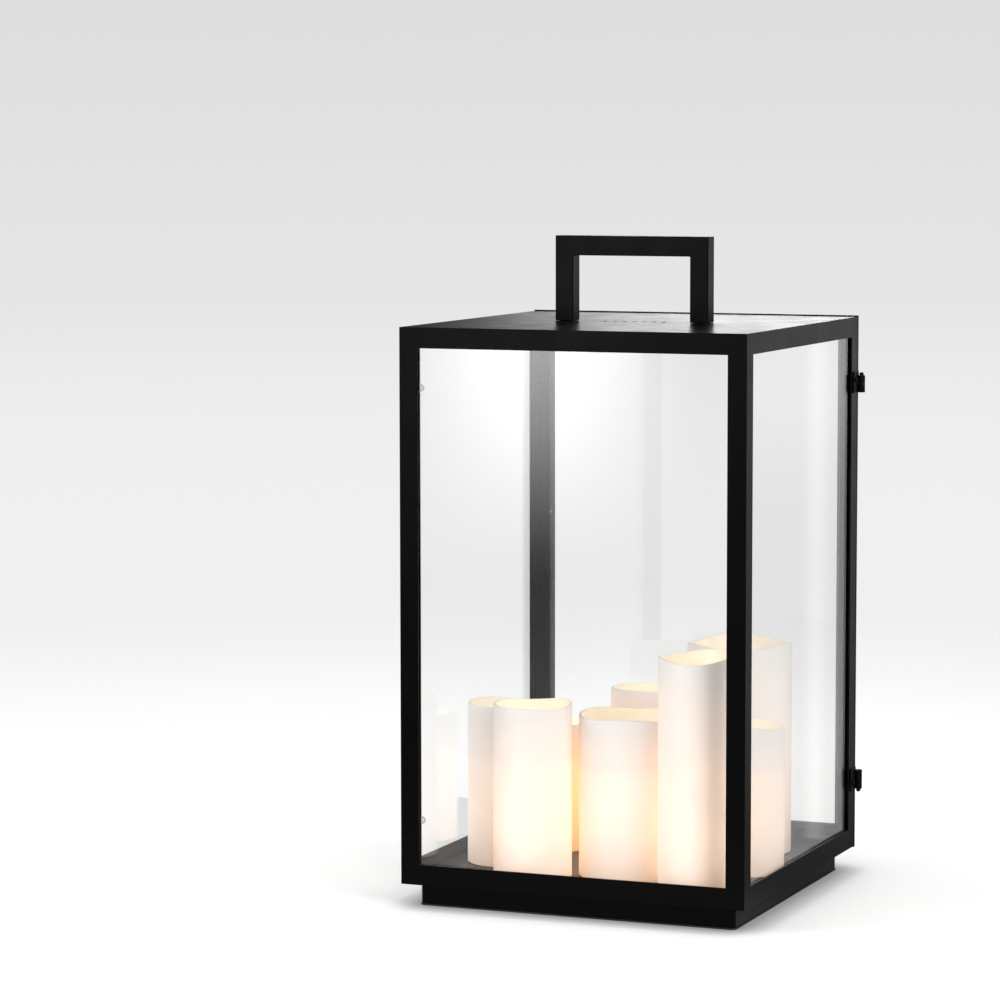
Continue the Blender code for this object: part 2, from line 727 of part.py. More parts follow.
def make_door():
    """The door frame, its pane, the knob and its screw."""
    frame = box(
        "door_frame", (-HALF, HALF), (DOOR_INNER_Y, DOOR_OUTER_Y), (DOOR_BOTTOM, DOOR_TOP), powder_coat
    )
    inner = HALF - DOOR_MEMBER
    window = prism_mesh(
        rectangle(-inner, inner, DOOR_INNER_Y - SHEET, DOOR_OUTER_Y + SHEET),
        DOOR_BOTTOM + DOOR_MEMBER,
        DOOR_TOP - DOOR_MEMBER,
    )
    combine(frame, [window], "DIFFERENCE")
    for _, _, _, _, height in HINGES:
        start = (DOOR_SCREW_X, DOOR_INNER_Y - SHEET, height)
        bore(frame, HINGE_SCREW_HOLE, start, (DOOR_SCREW_X, DOOR_OUTER_Y + SHEET, height))
    bore(
        frame,
        KNOB_SCREW_SHANK + KNOB_SCREW_CLEARANCE,
        (KNOB_X, DOOR_INNER_Y - SHEET, KNOB_Z),
        (KNOB_X, DOOR_OUTER_Y + SHEET, KNOB_Z),
    )
    sink = turned_mesh(
        (
            (KNOB_SCREW_HEAD + KNOB_SCREW_CLEARANCE, -SHEET),
            (KNOB_SCREW_HEAD + KNOB_SCREW_CLEARANCE, 0.0),
            (KNOB_SCREW_SHANK + KNOB_SCREW_CLEARANCE, KNOB_SCREW_HEAD_HEIGHT),
        ),
        (KNOB_X, DOOR_INNER_Y, KNOB_Z),
        (0, 1, 0),
    )
    combine(frame, [sink], "DIFFERENCE")
    pane = box(
        "door_glass",
        (-DOOR_PANE_HALF, DOOR_PANE_HALF),
        (DOOR_PANE_INNER_Y, DOOR_INNER_Y - GAP),
        (DOOR_PANE_BOTTOM, DOOR_PANE_TOP),
        clear_glass,
    )
    dab = turned(
        "silicone_dab_door",
        DOOR_DAB_PROFILE,
        (DOOR_DAB_X, DOOR_PANE_INNER_Y - GAP, KNOB_Z),
        (0, -1, 0),
        clear_silicone,
    )
    return frame, [pane, dab, *make_knob()]


def make_knob():
    profile = [
        (KNOB_BASE_RADIUS, 0.0),
        (KNOB_BASE_RADIUS, KNOB_BASE_EDGE),
        (KNOB_BASE_TOP_RADIUS, KNOB_BASE_HEIGHT),
        (KNOB_NECK_RADIUS, KNOB_NECK_START),
    ]
    neck_angle = math.asin(KNOB_NECK_RADIUS / KNOB_BALL_RADIUS)
    for step in range(KNOB_BALL_STEPS + 1):
        angle = neck_angle + (KNOB_BALL_END - neck_angle) * step / KNOB_BALL_STEPS
        radius = KNOB_BALL_RADIUS * math.sin(angle)
        profile.append((radius, KNOB_BALL_DISTANCE - KNOB_BALL_RADIUS * math.cos(angle)))
    seat = (KNOB_X, DOOR_OUTER_Y + GAP, KNOB_Z)
    knob = turned("knob", profile, seat, (0, 1, 0), powder_coat)
    start = (KNOB_X, DOOR_OUTER_Y - SHEET, KNOB_Z)
    bore(knob, KNOB_BORE_RADIUS, start, (KNOB_X, DOOR_OUTER_Y + KNOB_BORE_DEPTH, KNOB_Z))
    shade_round(knob)
    screw_profile = (
        (KNOB_SCREW_HEAD, 0.0),
        (KNOB_SCREW_SHANK, KNOB_SCREW_HEAD_HEIGHT),
        (KNOB_SCREW_SHANK, KNOB_SCREW_LENGTH),
    )
    screw = turned("knob_screw", screw_profile, (KNOB_X, DOOR_INNER_Y, KNOB_Z), (0, 1, 0), zinc_steel)
    return knob, screw


def make_magnet():
    profile = ((MAGNET_RADIUS, 0.0), (MAGNET_RADIUS, SHEET - GAP))
    turned("door_magnet", profile, (MAGNET_X, BODY_BACK_Y + GAP / 2, KNOB_Z), (0, 1, 0), magnet_nickel)


def rim_wave(waves, angle):
    """How far the rim stands above its mean height at this angle."""
    return sum(size * math.cos(times * (angle - math.radians(crest))) for times, size, crest in waves)


def make_candle(name, centre_x, centre_y, radius, height, waves):
    """A hollow-topped pillar: outer wall, wavy rounded rim, tapered recess and dished recess floor."""
    foot = FLOOR_TOP + GAP
    inner = radius - CANDLE_WALL
    floor_z = height - RECESS_DEPTH
    middle = radius - CANDLE_WALL / 2
    deep = inner - RECESS_TAPER
    # Each ring is its radius, its height, and how much of the rim's wave it follows.
    rings = (
        (radius - CANDLE_FOOT_BEVEL, foot, 0.0),
        (radius, foot + CANDLE_FOOT_BEVEL, 0.0),
        (radius, height - RIM_OUTER_DROP, 1.0),
        (radius - RIM_CREST_INSET, height - RIM_CREST_DROP, 1.0),
        (middle, height, 1.0),
        (inner, height - RIM_INNER_DROP, 1.0),
        (inner - RECESS_TAPER / 2, height - RECESS_HALFWAY, RECESS_HALFWAY_WAVE),
        (deep, floor_z + RECESS_FLOOR_ROUNDING, 0.0),
        (deep - RECESS_FLOOR_ROUNDING, floor_z, 0.0),
    )
    build = bmesh.new()
    loops = []
    for ring_radius, ring_z, follow in rings:
        loop = []
        for step in range(CANDLE_STEPS):
            angle = math.tau * step / CANDLE_STEPS
            wave = follow * rim_wave(waves, angle)
            x = centre_x + ring_radius * math.cos(angle)
            y = centre_y + ring_radius * math.sin(angle)
            loop.append(build.verts.new((x, y, ring_z + wave)))
        loops.append(loop)
    build.faces.new(list(reversed(loops[0])))
    build.faces.new(loops[-1])
    for lower, upper in zip(loops, loops[1:]):
        for index in range(CANDLE_STEPS):
            after = (index + 1) % CANDLE_STEPS
            build.faces.new((lower[index], lower[after], upper[after], upper[index]))
    add_object(name, build, ivory_wax, smooth=True)


def hang_on(parent, children, pivot):
    """Moves the parent's origin to the pivot, then parents the children to it."""
    offset = Vector(pivot)
    parent.data.transform(Matrix.Translation(-offset))
    parent.location = offset
    bpy.context.view_layer.update()
    for child in children:
        child.parent = parent
        child.matrix_parent_inverse = parent.matrix_world.inverted()


def main():
    clear_scene()
    make_base()
    make_floor()
    posts = make_posts()
    cut_posts(posts)
    make_rails()
    make_top_plate()
    make_handle()
    make_panes()
    make_retainers()
    make_magnet()
    door_frame, door_pieces = make_door()
    for hinge in HINGES:
        door_pieces += make_hinge(*hinge)
    for candle in CANDLES:
        make_candle(*candle)
    hang_on(door_frame, door_pieces, (HINGE_X, HINGE_Y, (DOOR_BOTTOM + DOOR_TOP) / 2))


main()
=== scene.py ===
"""Looks of the square glass lantern: welded black frame, glass panes, hinged rear door, LED candles.

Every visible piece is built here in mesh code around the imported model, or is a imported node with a
procedural material. Metres, +Z up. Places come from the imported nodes' boxes.
"""

import json
import math

import bmesh
import bpy
from mathutils import Matrix, Vector


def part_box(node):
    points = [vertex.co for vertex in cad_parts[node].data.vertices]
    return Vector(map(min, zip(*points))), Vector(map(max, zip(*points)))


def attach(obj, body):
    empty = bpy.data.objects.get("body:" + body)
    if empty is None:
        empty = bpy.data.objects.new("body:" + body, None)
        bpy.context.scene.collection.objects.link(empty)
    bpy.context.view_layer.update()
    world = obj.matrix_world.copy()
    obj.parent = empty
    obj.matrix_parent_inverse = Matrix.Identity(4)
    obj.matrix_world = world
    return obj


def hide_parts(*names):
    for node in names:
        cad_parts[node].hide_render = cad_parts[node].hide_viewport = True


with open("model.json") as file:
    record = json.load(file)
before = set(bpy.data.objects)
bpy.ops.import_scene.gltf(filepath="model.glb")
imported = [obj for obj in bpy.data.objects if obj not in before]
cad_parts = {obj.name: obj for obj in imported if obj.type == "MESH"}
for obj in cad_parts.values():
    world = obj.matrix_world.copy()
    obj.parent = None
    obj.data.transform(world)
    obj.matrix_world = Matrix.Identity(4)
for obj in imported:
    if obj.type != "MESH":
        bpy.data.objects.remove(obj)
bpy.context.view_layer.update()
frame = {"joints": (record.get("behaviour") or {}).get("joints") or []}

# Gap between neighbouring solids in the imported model.
GAP = 0.0003

# Driving sizes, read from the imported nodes.
FRAME_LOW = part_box("post_front_left")[0]
FRAME_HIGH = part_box("post_rear_right")[1]
OPENING_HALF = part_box("post_front_right")[0].x
SHEET = FRAME_HIGH.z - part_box("top_plate")[0].z
FLANGE_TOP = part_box("top_rail_front")[1].z - SHEET - GAP
FLANGE_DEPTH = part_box("bottom_rail_front")[1].y - FRAME_LOW.y
WINDOW_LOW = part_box("bottom_rail_front")[1].z
WINDOW_HIGH = FRAME_HIGH.z - (WINDOW_LOW - FRAME_LOW.z)
REAR_WINDOW_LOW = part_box("bottom_rail_rear")[1].z
REAR_WINDOW_HIGH = FRAME_HIGH.z - (REAR_WINDOW_LOW - FRAME_LOW.z)
HINGE_AXIS = Vector(frame["joints"][0]["pos_m"])

# Vent slots in the top plate, between the legs of the handle.
VENT_COUNT = 7
VENT_PITCH = 0.0102
VENT_WIDTH = 0.0028
VENT_LENGTH = 0.013

# Rounding of the edges of welded and folded steel, of glass and of small plates.
FRAME_EDGE = 0.0006
HANDLE_EDGE = 0.0008
GLASS_EDGE = 0.0004
SMALL_EDGE = 0.00025
ROUND_STEPS = 48
CORNER_STEPS = 8
SMOOTH_ANGLE = math.radians(32)

# Corner radii of the plinth, of its pad and inside the floor tray.
PLINTH_CORNER = 0.005
PAD_CORNER = 0.0057
TRAY_CORNER = 0.0012

# Handle: the width of its legs and the height of its bar.
HANDLE_LEG = 0.0188
HANDLE_BAR = 0.0194

# Door frame member, and the knob's foot up to its neck, as (radius, height).
DOOR_MEMBER = 0.023
KNOB_NECK = 0.0030
KNOB_STEM = (
    (0.0041, 0.0),
    (0.0044, 0.0003),
    (0.0044, 0.0009),
    (0.0039, 0.0014),
    (0.0033, 0.0019),
    (KNOB_NECK, 0.0026),
)
KNOB_STEPS = 18

# Screw heads: their heights, and the shank and the cross recess as shares of the head.
CLAMP_HEAD_HEIGHT = 0.0024
HANDLE_HEAD_HEIGHT = 0.0028
HINGE_HEAD_HEIGHT = 0.0015
PIN_HEAD_HEIGHT = 0.0028
KNOB_SCREW_HEAD_HEIGHT = 0.0015
SHANK_SHARE = 0.42
KNOB_SHANK_SHARE = 0.59
RECESS_WIDTH = 0.26
RECESS_REACH = 0.62
RECESS_SINK = 0.45

# Pan head: the share of its height that is a straight side, the arc over it, and how far the crown
# draws in.
PAN_SIDE = 0.28
PAN_ARC = math.radians(62)
PAN_CROWN = 0.48

# Hinges: whether the door's knuckle is the upper one, and how far the barrel's ends are inside the leaf's.
HINGES = {"upper": (True, 0.0, 0.0043), "lower": (False, 0.0007, 0.0022)}
LEAF = 0.0012
LEAF_RELIEF = 0.0003
KNUCKLE_BORE = 0.0016

# Rings from the foot of a silicone dab to its crown.
DAB_RINGS = 9

# Candle wax: wall at the rim, rounding of the foot, depth and rounding of the recess.
WALL = 0.0032
FOOT_ROUNDING = 0.0016
RECESS_DEPTH = 0.030
RECESS_TAPER = 0.0020
RECESS_FILLET = 0.0080
CANDLE_STEPS = 120
WALL_ROWS = 24
ARC_STEPS = 6

# How uneven the wax is, and its swells as (times round, climb per metre, shift from candle to candle).
UNEVENNESS = 0.00018
SWELLS = ((3, 70, 1), (5, -110, 2))

# Each candle: mean rim height, the rim's waves as (times round, height, crest in degrees), and its glow.
CANDLES = {
    "candle_rear_left": (0.1870, ((1, 0.0015, -152), (2, 0.0008, -33)), 0.80),
    "candle_front_left": (0.1978, ((1, 0.0005, 106), (2, 0.0010, 38), (3, 0.0008, 46)), 1.25),
    "candle_left_hidden": (0.1580, ((2, 0.0010, 20),), 2.00),
    "candle_centre": (0.1862, ((1, 0.0006, 180), (3, 0.0013, 43)), 1.10),
    "candle_rear_centre": (0.1971, ((1, 0.0006, -44), (2, 0.0006, 59)), 0.95),
    "candle_front_right": (0.2522, ((1, 0.0023, 66), (2, 0.0013, 28), (3, 0.0012, -26)), 1.12),
    "candle_rear_right": (0.2393, ((1, 0.0007, 82), (3, 0.0019, -10)), 0.75),
    "candle_right": (0.1735, ((1, 0.0020, -102), (2, 0.0018, 84)), 1.00),
}

# Strength of all the candles' glow, and the colour of their wax lit from inside.
GLOW = 0.39
WAX_LIGHT = (1.0, 0.42, 0.10)

# How the glow runs up a candle, as shares of its strength: first by height over the foot, then by how far
# below the rim, where 1 would be the foot.
GLOW_FROM_FOOT = ((0.0, 0.72), (0.018, 0.84), (0.055, 1.0), (0.095, 0.85))
GLOW_FROM_RIM = ((0.25, 0.45), (0.0, 0.12))

# Floor: its size, where it fades into the backdrop, the narrow shadow painted into its colour at a foot on
# it, and its own light.
FLOOR_RADIUS = 14.0
FLOOR_FADE = (0.9, 2.6)
CONTACT_REACH = 0.034
CONTACT_POWER = 1.5
CONTACT_SAMPLES = 12
FLOOR_LIFT = 0.21

# The floor in reflections: its brightness as (near, far, first distance, last distance), in front of the
# lantern and behind it, where two steps add up, and the y range between the two.
MIRRORED_FRONT = (0.75, 0.10, 0.35, 1.0)
MIRRORED_REAR = ((0.20, 0.42, 0.3, 1.2), (0.0, 0.45, 3.0, 8.0))
MIRRORED_SPLIT = (-0.3, 0.1)

# Backdrop: its brightness near, far and overhead, the distances from near to far, how steeply the view
# looks up from far to overhead, and the soft light all round.
BACKDROP = (0.87, 0.79, 0.73)
BACKDROP_FADE = (3.0, 14.0)
BACKDROP_RISE = (-0.05, 0.04)
WORLD_LIGHT = 0.62

# The surroundings in reflections: how dim, how much brighter they get, the directions in which they
# brighten towards the rear and the right, and the share that is left on the left.
MIRRORED_DIM = 0.06
MIRRORED_BRIGHT = 0.70
REARWARD = (-0.2, 0.8)
RIGHTWARD = (-0.2, 0.3)
LEFT_SHARE = 0.12

# Soft boxes: name, place, the point they face, side length and power in watts.
SOFTBOXES = (
    ("overhead_box", (0.3, 0.4, 3.2), (0.0, 0.2, 0.0), 3.6, 20),
    ("left_box", (-2.6, -1.9, 1.7), (0.0, 0.0, 0.25), 1.8, 46),
    ("right_box", (2.9, -1.9, 1.9), (0.0, 0.0, 0.25), 1.8, 58),
)

# Cards that only reflections see: name, y, x range, z range, strength and the fades that dim them, each as
# (axis, dark end, bright end).
CARDS = (
    (
        "window_card",
        -2.2,
        (-1.15, -0.50),
        (0.02, 1.3),
        10.5,
        (("Z", 0.05, 0.53), ("X", -0.56, -0.86), ("X", -1.12, -0.82)),
    ),
    ("rear_card", 1.35, (-0.86, -0.06), (0.40, 0.90), 4.5, (("X", -0.82, -0.30), ("X", -0.08, -0.20))),
    ("strip_card", 0.30, (0.234, 0.269), (0.003, 0.55), 0.40, (("X", 0.234, 0.251), ("X", 0.269, 0.252))),
)

# Camera: where it stands, where it looks and its lens on a 36 mm sensor.
CAMERA_PLACE = Vector((1.2911, -3.5184, 0.7488))
CAMERA_YAW = math.radians(22.167)
CAMERA_PITCH = math.radians(5.524)
CAMERA_ROLL = math.radians(-0.07)
CAMERA_LENS = 137.5


# --- Meshes ---------------------------------------------------------------------------------


def add_object(name, build, *materials):
    """Turns a filled bmesh into an object with its faces pointing out."""
    bmesh.ops.recalc_face_normals(build, faces=build.faces)
    mesh = bpy.data.meshes.new(name)
    build.to_mesh(mesh)
    build.free()
    obj = bpy.data.objects.new(name, mesh)
    bpy.context.scene.collection.objects.link(obj)
    for material in materials:
        mesh.materials.append(material)
    return obj


def shade_round(obj):
    for face in obj.data.polygons:
        face.use_smooth = True
    obj.data.set_sharp_from_angle(angle=SMOOTH_ANGLE)


def round_edges(obj, width, segments=3):
    """A rounded edge wherever two faces meet at an angle, shaded as a smooth roll."""
    modifier = obj.modifiers.new("edges", "BEVEL")
    modifier.width = width
    modifier.segments = segments
    modifier.limit_method = "ANGLE"
    modifier.angle_limit = SMOOTH_ANGLE
    modifier.harden_normals = True
    for face in obj.data.polygons:
        face.use_smooth = True
    return obj


def prism(outline, low, high):
    """A closed prism from a counter-clockwise outline in x and y."""
    build = bmesh.new()
    bottom = [build.verts.new((x, y, low)) for x, y in outline]
    top = [build.verts.new((x, y, high)) for x, y in outline]
    build.faces.new(list(reversed(bottom)))
    build.faces.new(top)
    count = len(outline)
    for index in range(count):
        after = (index + 1) % count
        build.faces.new((bottom[index], bottom[after], top[after], top[index]))
    return build


def block(low, high):
    """A closed box between two opposite corners."""
    outline = [(low[0], low[1]), (high[0], low[1]), (high[0], high[1]), (low[0], high[1])]
    return prism(outline, low[2], high[2])


def circle(radius, steps=ROUND_STEPS):
    angles = [math.tau * step / steps for step in range(steps)]
    return [(radius * math.cos(angle), radius * math.sin(angle)) for angle in angles]


def revolve(profile, steps=ROUND_STEPS):
    """A closed solid turned round +Z from (radius, z) pairs. A radius of 0 closes to a point."""
    build = bmesh.new()
    rings = []
    for radius, z in profile:
        if radius == 0:
            rings.append([build.verts.new((0.0, 0.0, z))])
        else:
            rings.append([build.verts.new((x, y, z)) for x, y in circle(radius, steps)])
    for ring in (rings[0], rings[-1]):
        if len(ring) > 1:
            build.faces.new(ring)
    for lower, upper in zip(rings, rings[1:]):
        for index in range(steps):
            after = (index + 1) % steps
            corners = [lower[index % len(lower)], lower[after % len(lower)]]
            corners += [upper[after % len(upper)], upper[index % len(upper)]]
            build.faces.new(list(dict.fromkeys(corners)))
    return build


def place(build, seat, axis):
    """Moves a solid made along +Z so that its origin is at seat and +Z points along axis."""
    turn = Vector((0, 0, 1)).rotation_difference(Vector(axis)).to_matrix().to_4x4()
    build.transform(Matrix.Translation(Vector(seat)) @ turn)
    return build


def combine(obj, builds, operation):
    """Applies one exact Boolean for each tool and cleans the result of needless points."""
    for build in builds:
        tool = add_object(obj.name + "_tool", build)
        modifier = obj.modifiers.new("cut", "BOOLEAN")
        modifier.operation = operation
        modifier.solver = "EXACT"
        modifier.object = tool
        bpy.context.view_layer.update()
        graph = bpy.context.evaluated_depsgraph_get()
        baked = bpy.data.meshes.new_from_object(obj.evaluated_get(graph))
        obj.modifiers.clear()
        bpy.data.objects.remove(tool, do_unlink=True)
        old = obj.data
        obj.data = baked
        bpy.data.meshes.remove(old)
    build = bmesh.new()
    build.from_mesh(obj.data)
    bmesh.ops.remove_doubles(build, verts=build.verts, dist=0.000002)
    bmesh.ops.dissolve_limit(build, angle_limit=0.01, verts=build.verts, edges=build.edges)
    build.to_mesh(obj.data)
    build.free()
    obj.data.name = obj.name
    return obj


def rounded_square(half, radius, steps=CORNER_STEPS):
    outline = []
    for quarter in range(4):
        middle = math.pi / 4 + quarter * math.pi / 2
        centre_x = math.copysign(half - radius, math.cos(middle))
        centre_y = math.copysign(half - radius, math.sin(middle))
        for step in range(steps + 1):
            angle = quarter * math.pi / 2 + step / steps * math.pi / 2
            outline.append((centre_x + radius * math.cos(angle), centre_y + radius * math.sin(angle)))
    return outline


def slot_outline(centre_x, width, length):
    """A round-ended slot that runs front to rear."""
    radius = width / 2
    straight = length / 2 - radius
    outline = []
    for half_turn, end in ((0.0, straight), (math.pi, -straight)):
        for step in range(CORNER_STEPS + 1):
            angle = half_turn + step / CORNER_STEPS * math.pi
            outline.append((centre_x + radius * math.cos(angle), end + radius * math.sin(angle)))
    return outline


def belongs(obj, body, slot, *nodes):
    """Fixes a piece to its body and hides the nodes that it stands for. The slot it is given is not used.
    """
    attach(obj, body)
    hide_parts(*nodes)
    return obj


# --- Materials ------------------------------------------------------------------------------


def ramp(tree, source, low, high, from_low, from_high):
    """A smooth step from low to high as source runs from from_low to from_high."""
    node = tree.nodes.new("ShaderNodeMapRange")
    node.interpolation_type = "SMOOTHSTEP"
    for key, value in (("From Min", from_low), ("From Max", from_high), ("To Min", low), ("To Max", high)):
        node.inputs[key].default_value = value
    tree.links.new(source, node.inputs["Value"])
    return node.outputs["Result"]


def combine_values(tree, operation, first, second):
    """One Math node between two values, each a number or a socket."""
    node = tree.nodes.new("ShaderNodeMath")
    node.operation = operation
    for index, value in enumerate((first, second)):
        if isinstance(value, (int, float)):
            node.inputs[index].default_value = value
        else:
            tree.links.new(value, node.inputs[index])
    return node.outputs[0]


def blend(tree, factor, first, second):
    """Mixes two shaders."""
    node = tree.nodes.new("ShaderNodeMixShader")
    tree.links.new(factor, node.inputs[0])
    tree.links.new(first, node.inputs[1])
    tree.links.new(second, node.inputs[2])
    return node.outputs[0]


def lit(tree, strength):
    """White light of a strength that another socket gives."""
    node = tree.nodes.new("ShaderNodeEmission")
    node.inputs["Color"].default_value = (1.0, 1.0, 1.0, 1.0)
    tree.links.new(strength, node.inputs["Strength"])
    return node.outputs[0]


class Nodes:
    """A small helper that adds and links shader nodes in one material."""

    def __init__(self, name):
        self.material = bpy.data.materials.new(name)
        self.material.use_nodes = True
        self.tree = self.material.node_tree
        self.shader = self.tree.nodes["Principled BSDF"]
        self.output = self.tree.nodes["Material Output"]
        self.place = self.add("ShaderNodeTexCoord").outputs["Object"]

    def add(self, kind, **settings):
        node = self.tree.nodes.new(kind)
        for key, value in settings.items():
            setattr(node, key, value)
        return node

    def link(self, source, target):
        self.tree.links.new(source, target)

    def set(self, **values):
        """Sets plain values on the shader, with underscores for the spaces in a socket's name."""
        for key, value in values.items():
            self.shader.inputs[key.replace("_", " ")].default_value = value

    def noise(self, scale, detail=2.0, roughness=0.5, stretch=(1, 1, 1)):
        mapping = self.add("ShaderNodeMapping")
        mapping.inputs["Scale"].default_value = stretch
        self.link(self.place, mapping.inputs["Vector"])
        node = self.add("ShaderNodeTexNoise")
        node.inputs["Scale"].default_value = scale
        node.inputs["Detail"].default_value = detail
        node.inputs["Roughness"].default_value = roughness
        self.link(mapping.outputs["Vector"], node.inputs["Vector"])
        return node.outputs["Fac"]

    def remap(self, source, low, high, from_low=0.3, from_high=0.7):
        node = self.add("ShaderNodeMapRange")
        node.inputs["From Min"].default_value = from_low
        node.inputs["From Max"].default_value = from_high
        node.inputs["To Min"].default_value = low
        node.inputs["To Max"].default_value = high
        self.link(source, node.inputs["Value"])
        return node.outputs["Result"]

    def math(self, operation, first, second):
        return combine_values(self.tree, operation, first, second)

    def mix(self, factor, first, second):
        node = self.add("ShaderNodeMix", data_type="RGBA")
        if isinstance(factor, (int, float)):
            node.inputs["Factor"].default_value = factor
        else:
            self.link(factor, node.inputs["Factor"])
        for name, value in (("A", first), ("B", second)):
            socket = next(s for s in node.inputs if s.name == name and s.type == "RGBA")
            if isinstance(value, tuple):
                socket.default_value = (*value, 1.0)
            else:
                self.link(value, socket)
        return next(s for s in node.outputs if s.type == "RGBA")

    def bump(self, heights):
        """Chains bumps given as (height, strength, distance) and feeds the shader's normal."""
        normal = None
        for height, strength, distance in heights:
            node = self.add("ShaderNodeBump")
            node.inputs["Strength"].default_value = strength
            node.inputs["Distance"].default_value = distance
            self.link(height, node.inputs["Height"])
            if normal is not None:
                self.link(normal, node.inputs["Normal"])
            normal = node.outputs["Normal"]
        self.link(normal, self.shader.inputs["Normal"])


def powder_coat(name, roughness=(0.29, 0.35)):
    """Satin black powder coat: dark, smooth and even, with a very fine orange peel."""
    nodes = Nodes(name)
    mottle = nodes.noise(14.0, detail=4.0)
    peel = nodes.noise(1400.0, detail=2.0)
    colour = nodes.mix(nodes.remap(mottle, 0.0, 1.0), (0.0012, 0.0012, 0.0013), (0.0018, 0.0018, 0.0018))
    nodes.link(colour, nodes.shader.inputs["Base Color"])
    gloss = nodes.noise(38.0, detail=3.0)
    nodes.link(nodes.remap(gloss, *roughness), nodes.shader.inputs["Roughness"])
    nodes.set(Specular_IOR_Level=0.06)
    nodes.bump(((peel, 0.06, 0.00002),))
    return nodes.material


def glass(name):
    """Clear float glass: faint green, with a hardly visible waviness. Lamps shine through it."""
    nodes = Nodes(name)
    tint = nodes.remap(nodes.noise(5.0), 0.0, 1.0)
    colour = nodes.mix(tint, (0.984, 0.991, 0.988), (0.990, 0.994, 0.992))
    nodes.link(colour, nodes.shader.inputs["Base Color"])
    nodes.set(Roughness=0.0, Transmission_Weight=1.0, IOR=1.5)
    nodes.bump(((nodes.noise(7.0, detail=1.0), 0.04, 0.0004),))
    clear = nodes.add("ShaderNodeBsdfTransparent")
    clear.inputs["Color"].default_value = (0.93, 0.945, 0.938, 1.0)
    path = nodes.add("ShaderNodeLightPath")
    pane = nodes.shader.outputs["BSDF"]
    choice = blend(nodes.tree, path.outputs["Is Shadow Ray"], pane, clear.outputs["BSDF"])
    nodes.link(choice, nodes.output.inputs["Surface"])
    return nodes.material


def clear_silicone(name):
    """Clear sealant: slightly milky, with a soft uneven skin."""
    nodes = Nodes(name)
    cloud = nodes.remap(nodes.noise(300.0), 0.0, 1.0)
    nodes.link(nodes.mix(cloud, (0.84, 0.85, 0.85), (0.90, 0.90, 0.89)), nodes.shader.inputs["Base Color"])
    nodes.link(nodes.remap(nodes.noise(900.0), 0.16, 0.26), nodes.shader.inputs["Roughness"])
    nodes.set(Transmission_Weight=0.75, IOR=1.41)
    nodes.bump(((nodes.noise(700.0, detail=1.0), 0.2, 0.0001),))
    return nodes.material


def height_ramp(nodes, stops):
    """A glow that follows the height above the ground: stops are (height in metres, value)."""
    split = nodes.add("ShaderNodeSeparateXYZ")
    nodes.link(nodes.place, split.inputs[0])
    top = stops[-1][0]
    scaled = nodes.math("DIVIDE", split.outputs["Z"], top)
    curve = nodes.add("ShaderNodeValToRGB")
    curve.color_ramp.interpolation = "EASE"
    elements = curve.color_ramp.elements
    while len(elements) < len(stops):
        elements.new(0.5)
    for element, (height, value) in zip(elements, stops):
        element.position = height / top
        element.color = (value, value, value, 1.0)
    nodes.link(scaled, curve.inputs["Fac"])
    return curve.outputs["Color"]


def wax(name, glow, foot, rim):
    """Ivory wax lit from inside: cool and matt at the rim, warm and bright low down."""
    nodes = Nodes(name)
    clouds = nodes.noise(26.0, detail=4.0, roughness=0.6)
    streaks = nodes.noise(60.0, detail=3.0, stretch=(1, 1, 0.18))
    pits = nodes.noise(900.0, detail=2.0)
    skin = nodes.mix(nodes.remap(clouds, 0.0, 1.0), (0.86, 0.828, 0.815), (0.89, 0.862, 0.848))
    nodes.link(skin, nodes.shader.inputs["Base Color"])
    nodes.link(nodes.remap(streaks, 0.42, 0.60), nodes.shader.inputs["Roughness"])
    stops = [(foot + height, share) for height, share in GLOW_FROM_FOOT]
    stops += [(rim - down * (rim - foot), share) for down, share in GLOW_FROM_RIM]
    level = height_ramp(nodes, stops)
    uneven = nodes.remap(clouds, 0.92, 1.08)
    strength = nodes.math("MULTIPLY", nodes.math("MULTIPLY", level, uneven), glow)
    nodes.link(nodes.mix(level, WAX_LIGHT, (1.0, 0.48, 0.15)), nodes.shader.inputs["Emission Color"])
    nodes.link(strength, nodes.shader.inputs["Emission Strength"])
    nodes.bump(((streaks, 0.10, 0.0006), (pits, 0.10, 0.00005)))
    return nodes.material


def wax_inside(name, glow):
    """The hollow top of a lit candle: the same wax, glowing cream."""
    nodes = Nodes(name)
    clouds = nodes.noise(60.0, detail=3.0)
    nodes.link(
        nodes.mix(nodes.remap(clouds, 0.0, 1.0), (0.82, 0.75, 0.66), (0.88, 0.81, 0.72)),
        nodes.shader.inputs["Base Color"],
    )
    warmth = nodes.mix(clouds, (1.0, 0.76, 0.42), (1.0, 0.82, 0.50))
    nodes.link(warmth, nodes.shader.inputs["Emission Color"])
    nodes.link(nodes.remap(clouds, 0.56 * glow, 0.68 * glow), nodes.shader.inputs["Emission Strength"])
    nodes.link(nodes.remap(clouds, 0.45, 0.6), nodes.shader.inputs["Roughness"])
    nodes.bump(((clouds, 0.15, 0.0006),))
    return nodes.material


def rubber(name):
    nodes = Nodes(name)
    grain = nodes.noise(1600.0, detail=3.0)
    colour = nodes.mix(nodes.remap(grain, 0.0, 1.0), (0.010, 0.010, 0.010), (0.022, 0.022, 0.022))
    nodes.link(colour, nodes.shader.inputs["Base Color"])
    nodes.link(nodes.remap(grain, 0.78, 0.95), nodes.shader.inputs["Roughness"])
    nodes.bump(((grain, 0.4, 0.00012),))
    return nodes.material


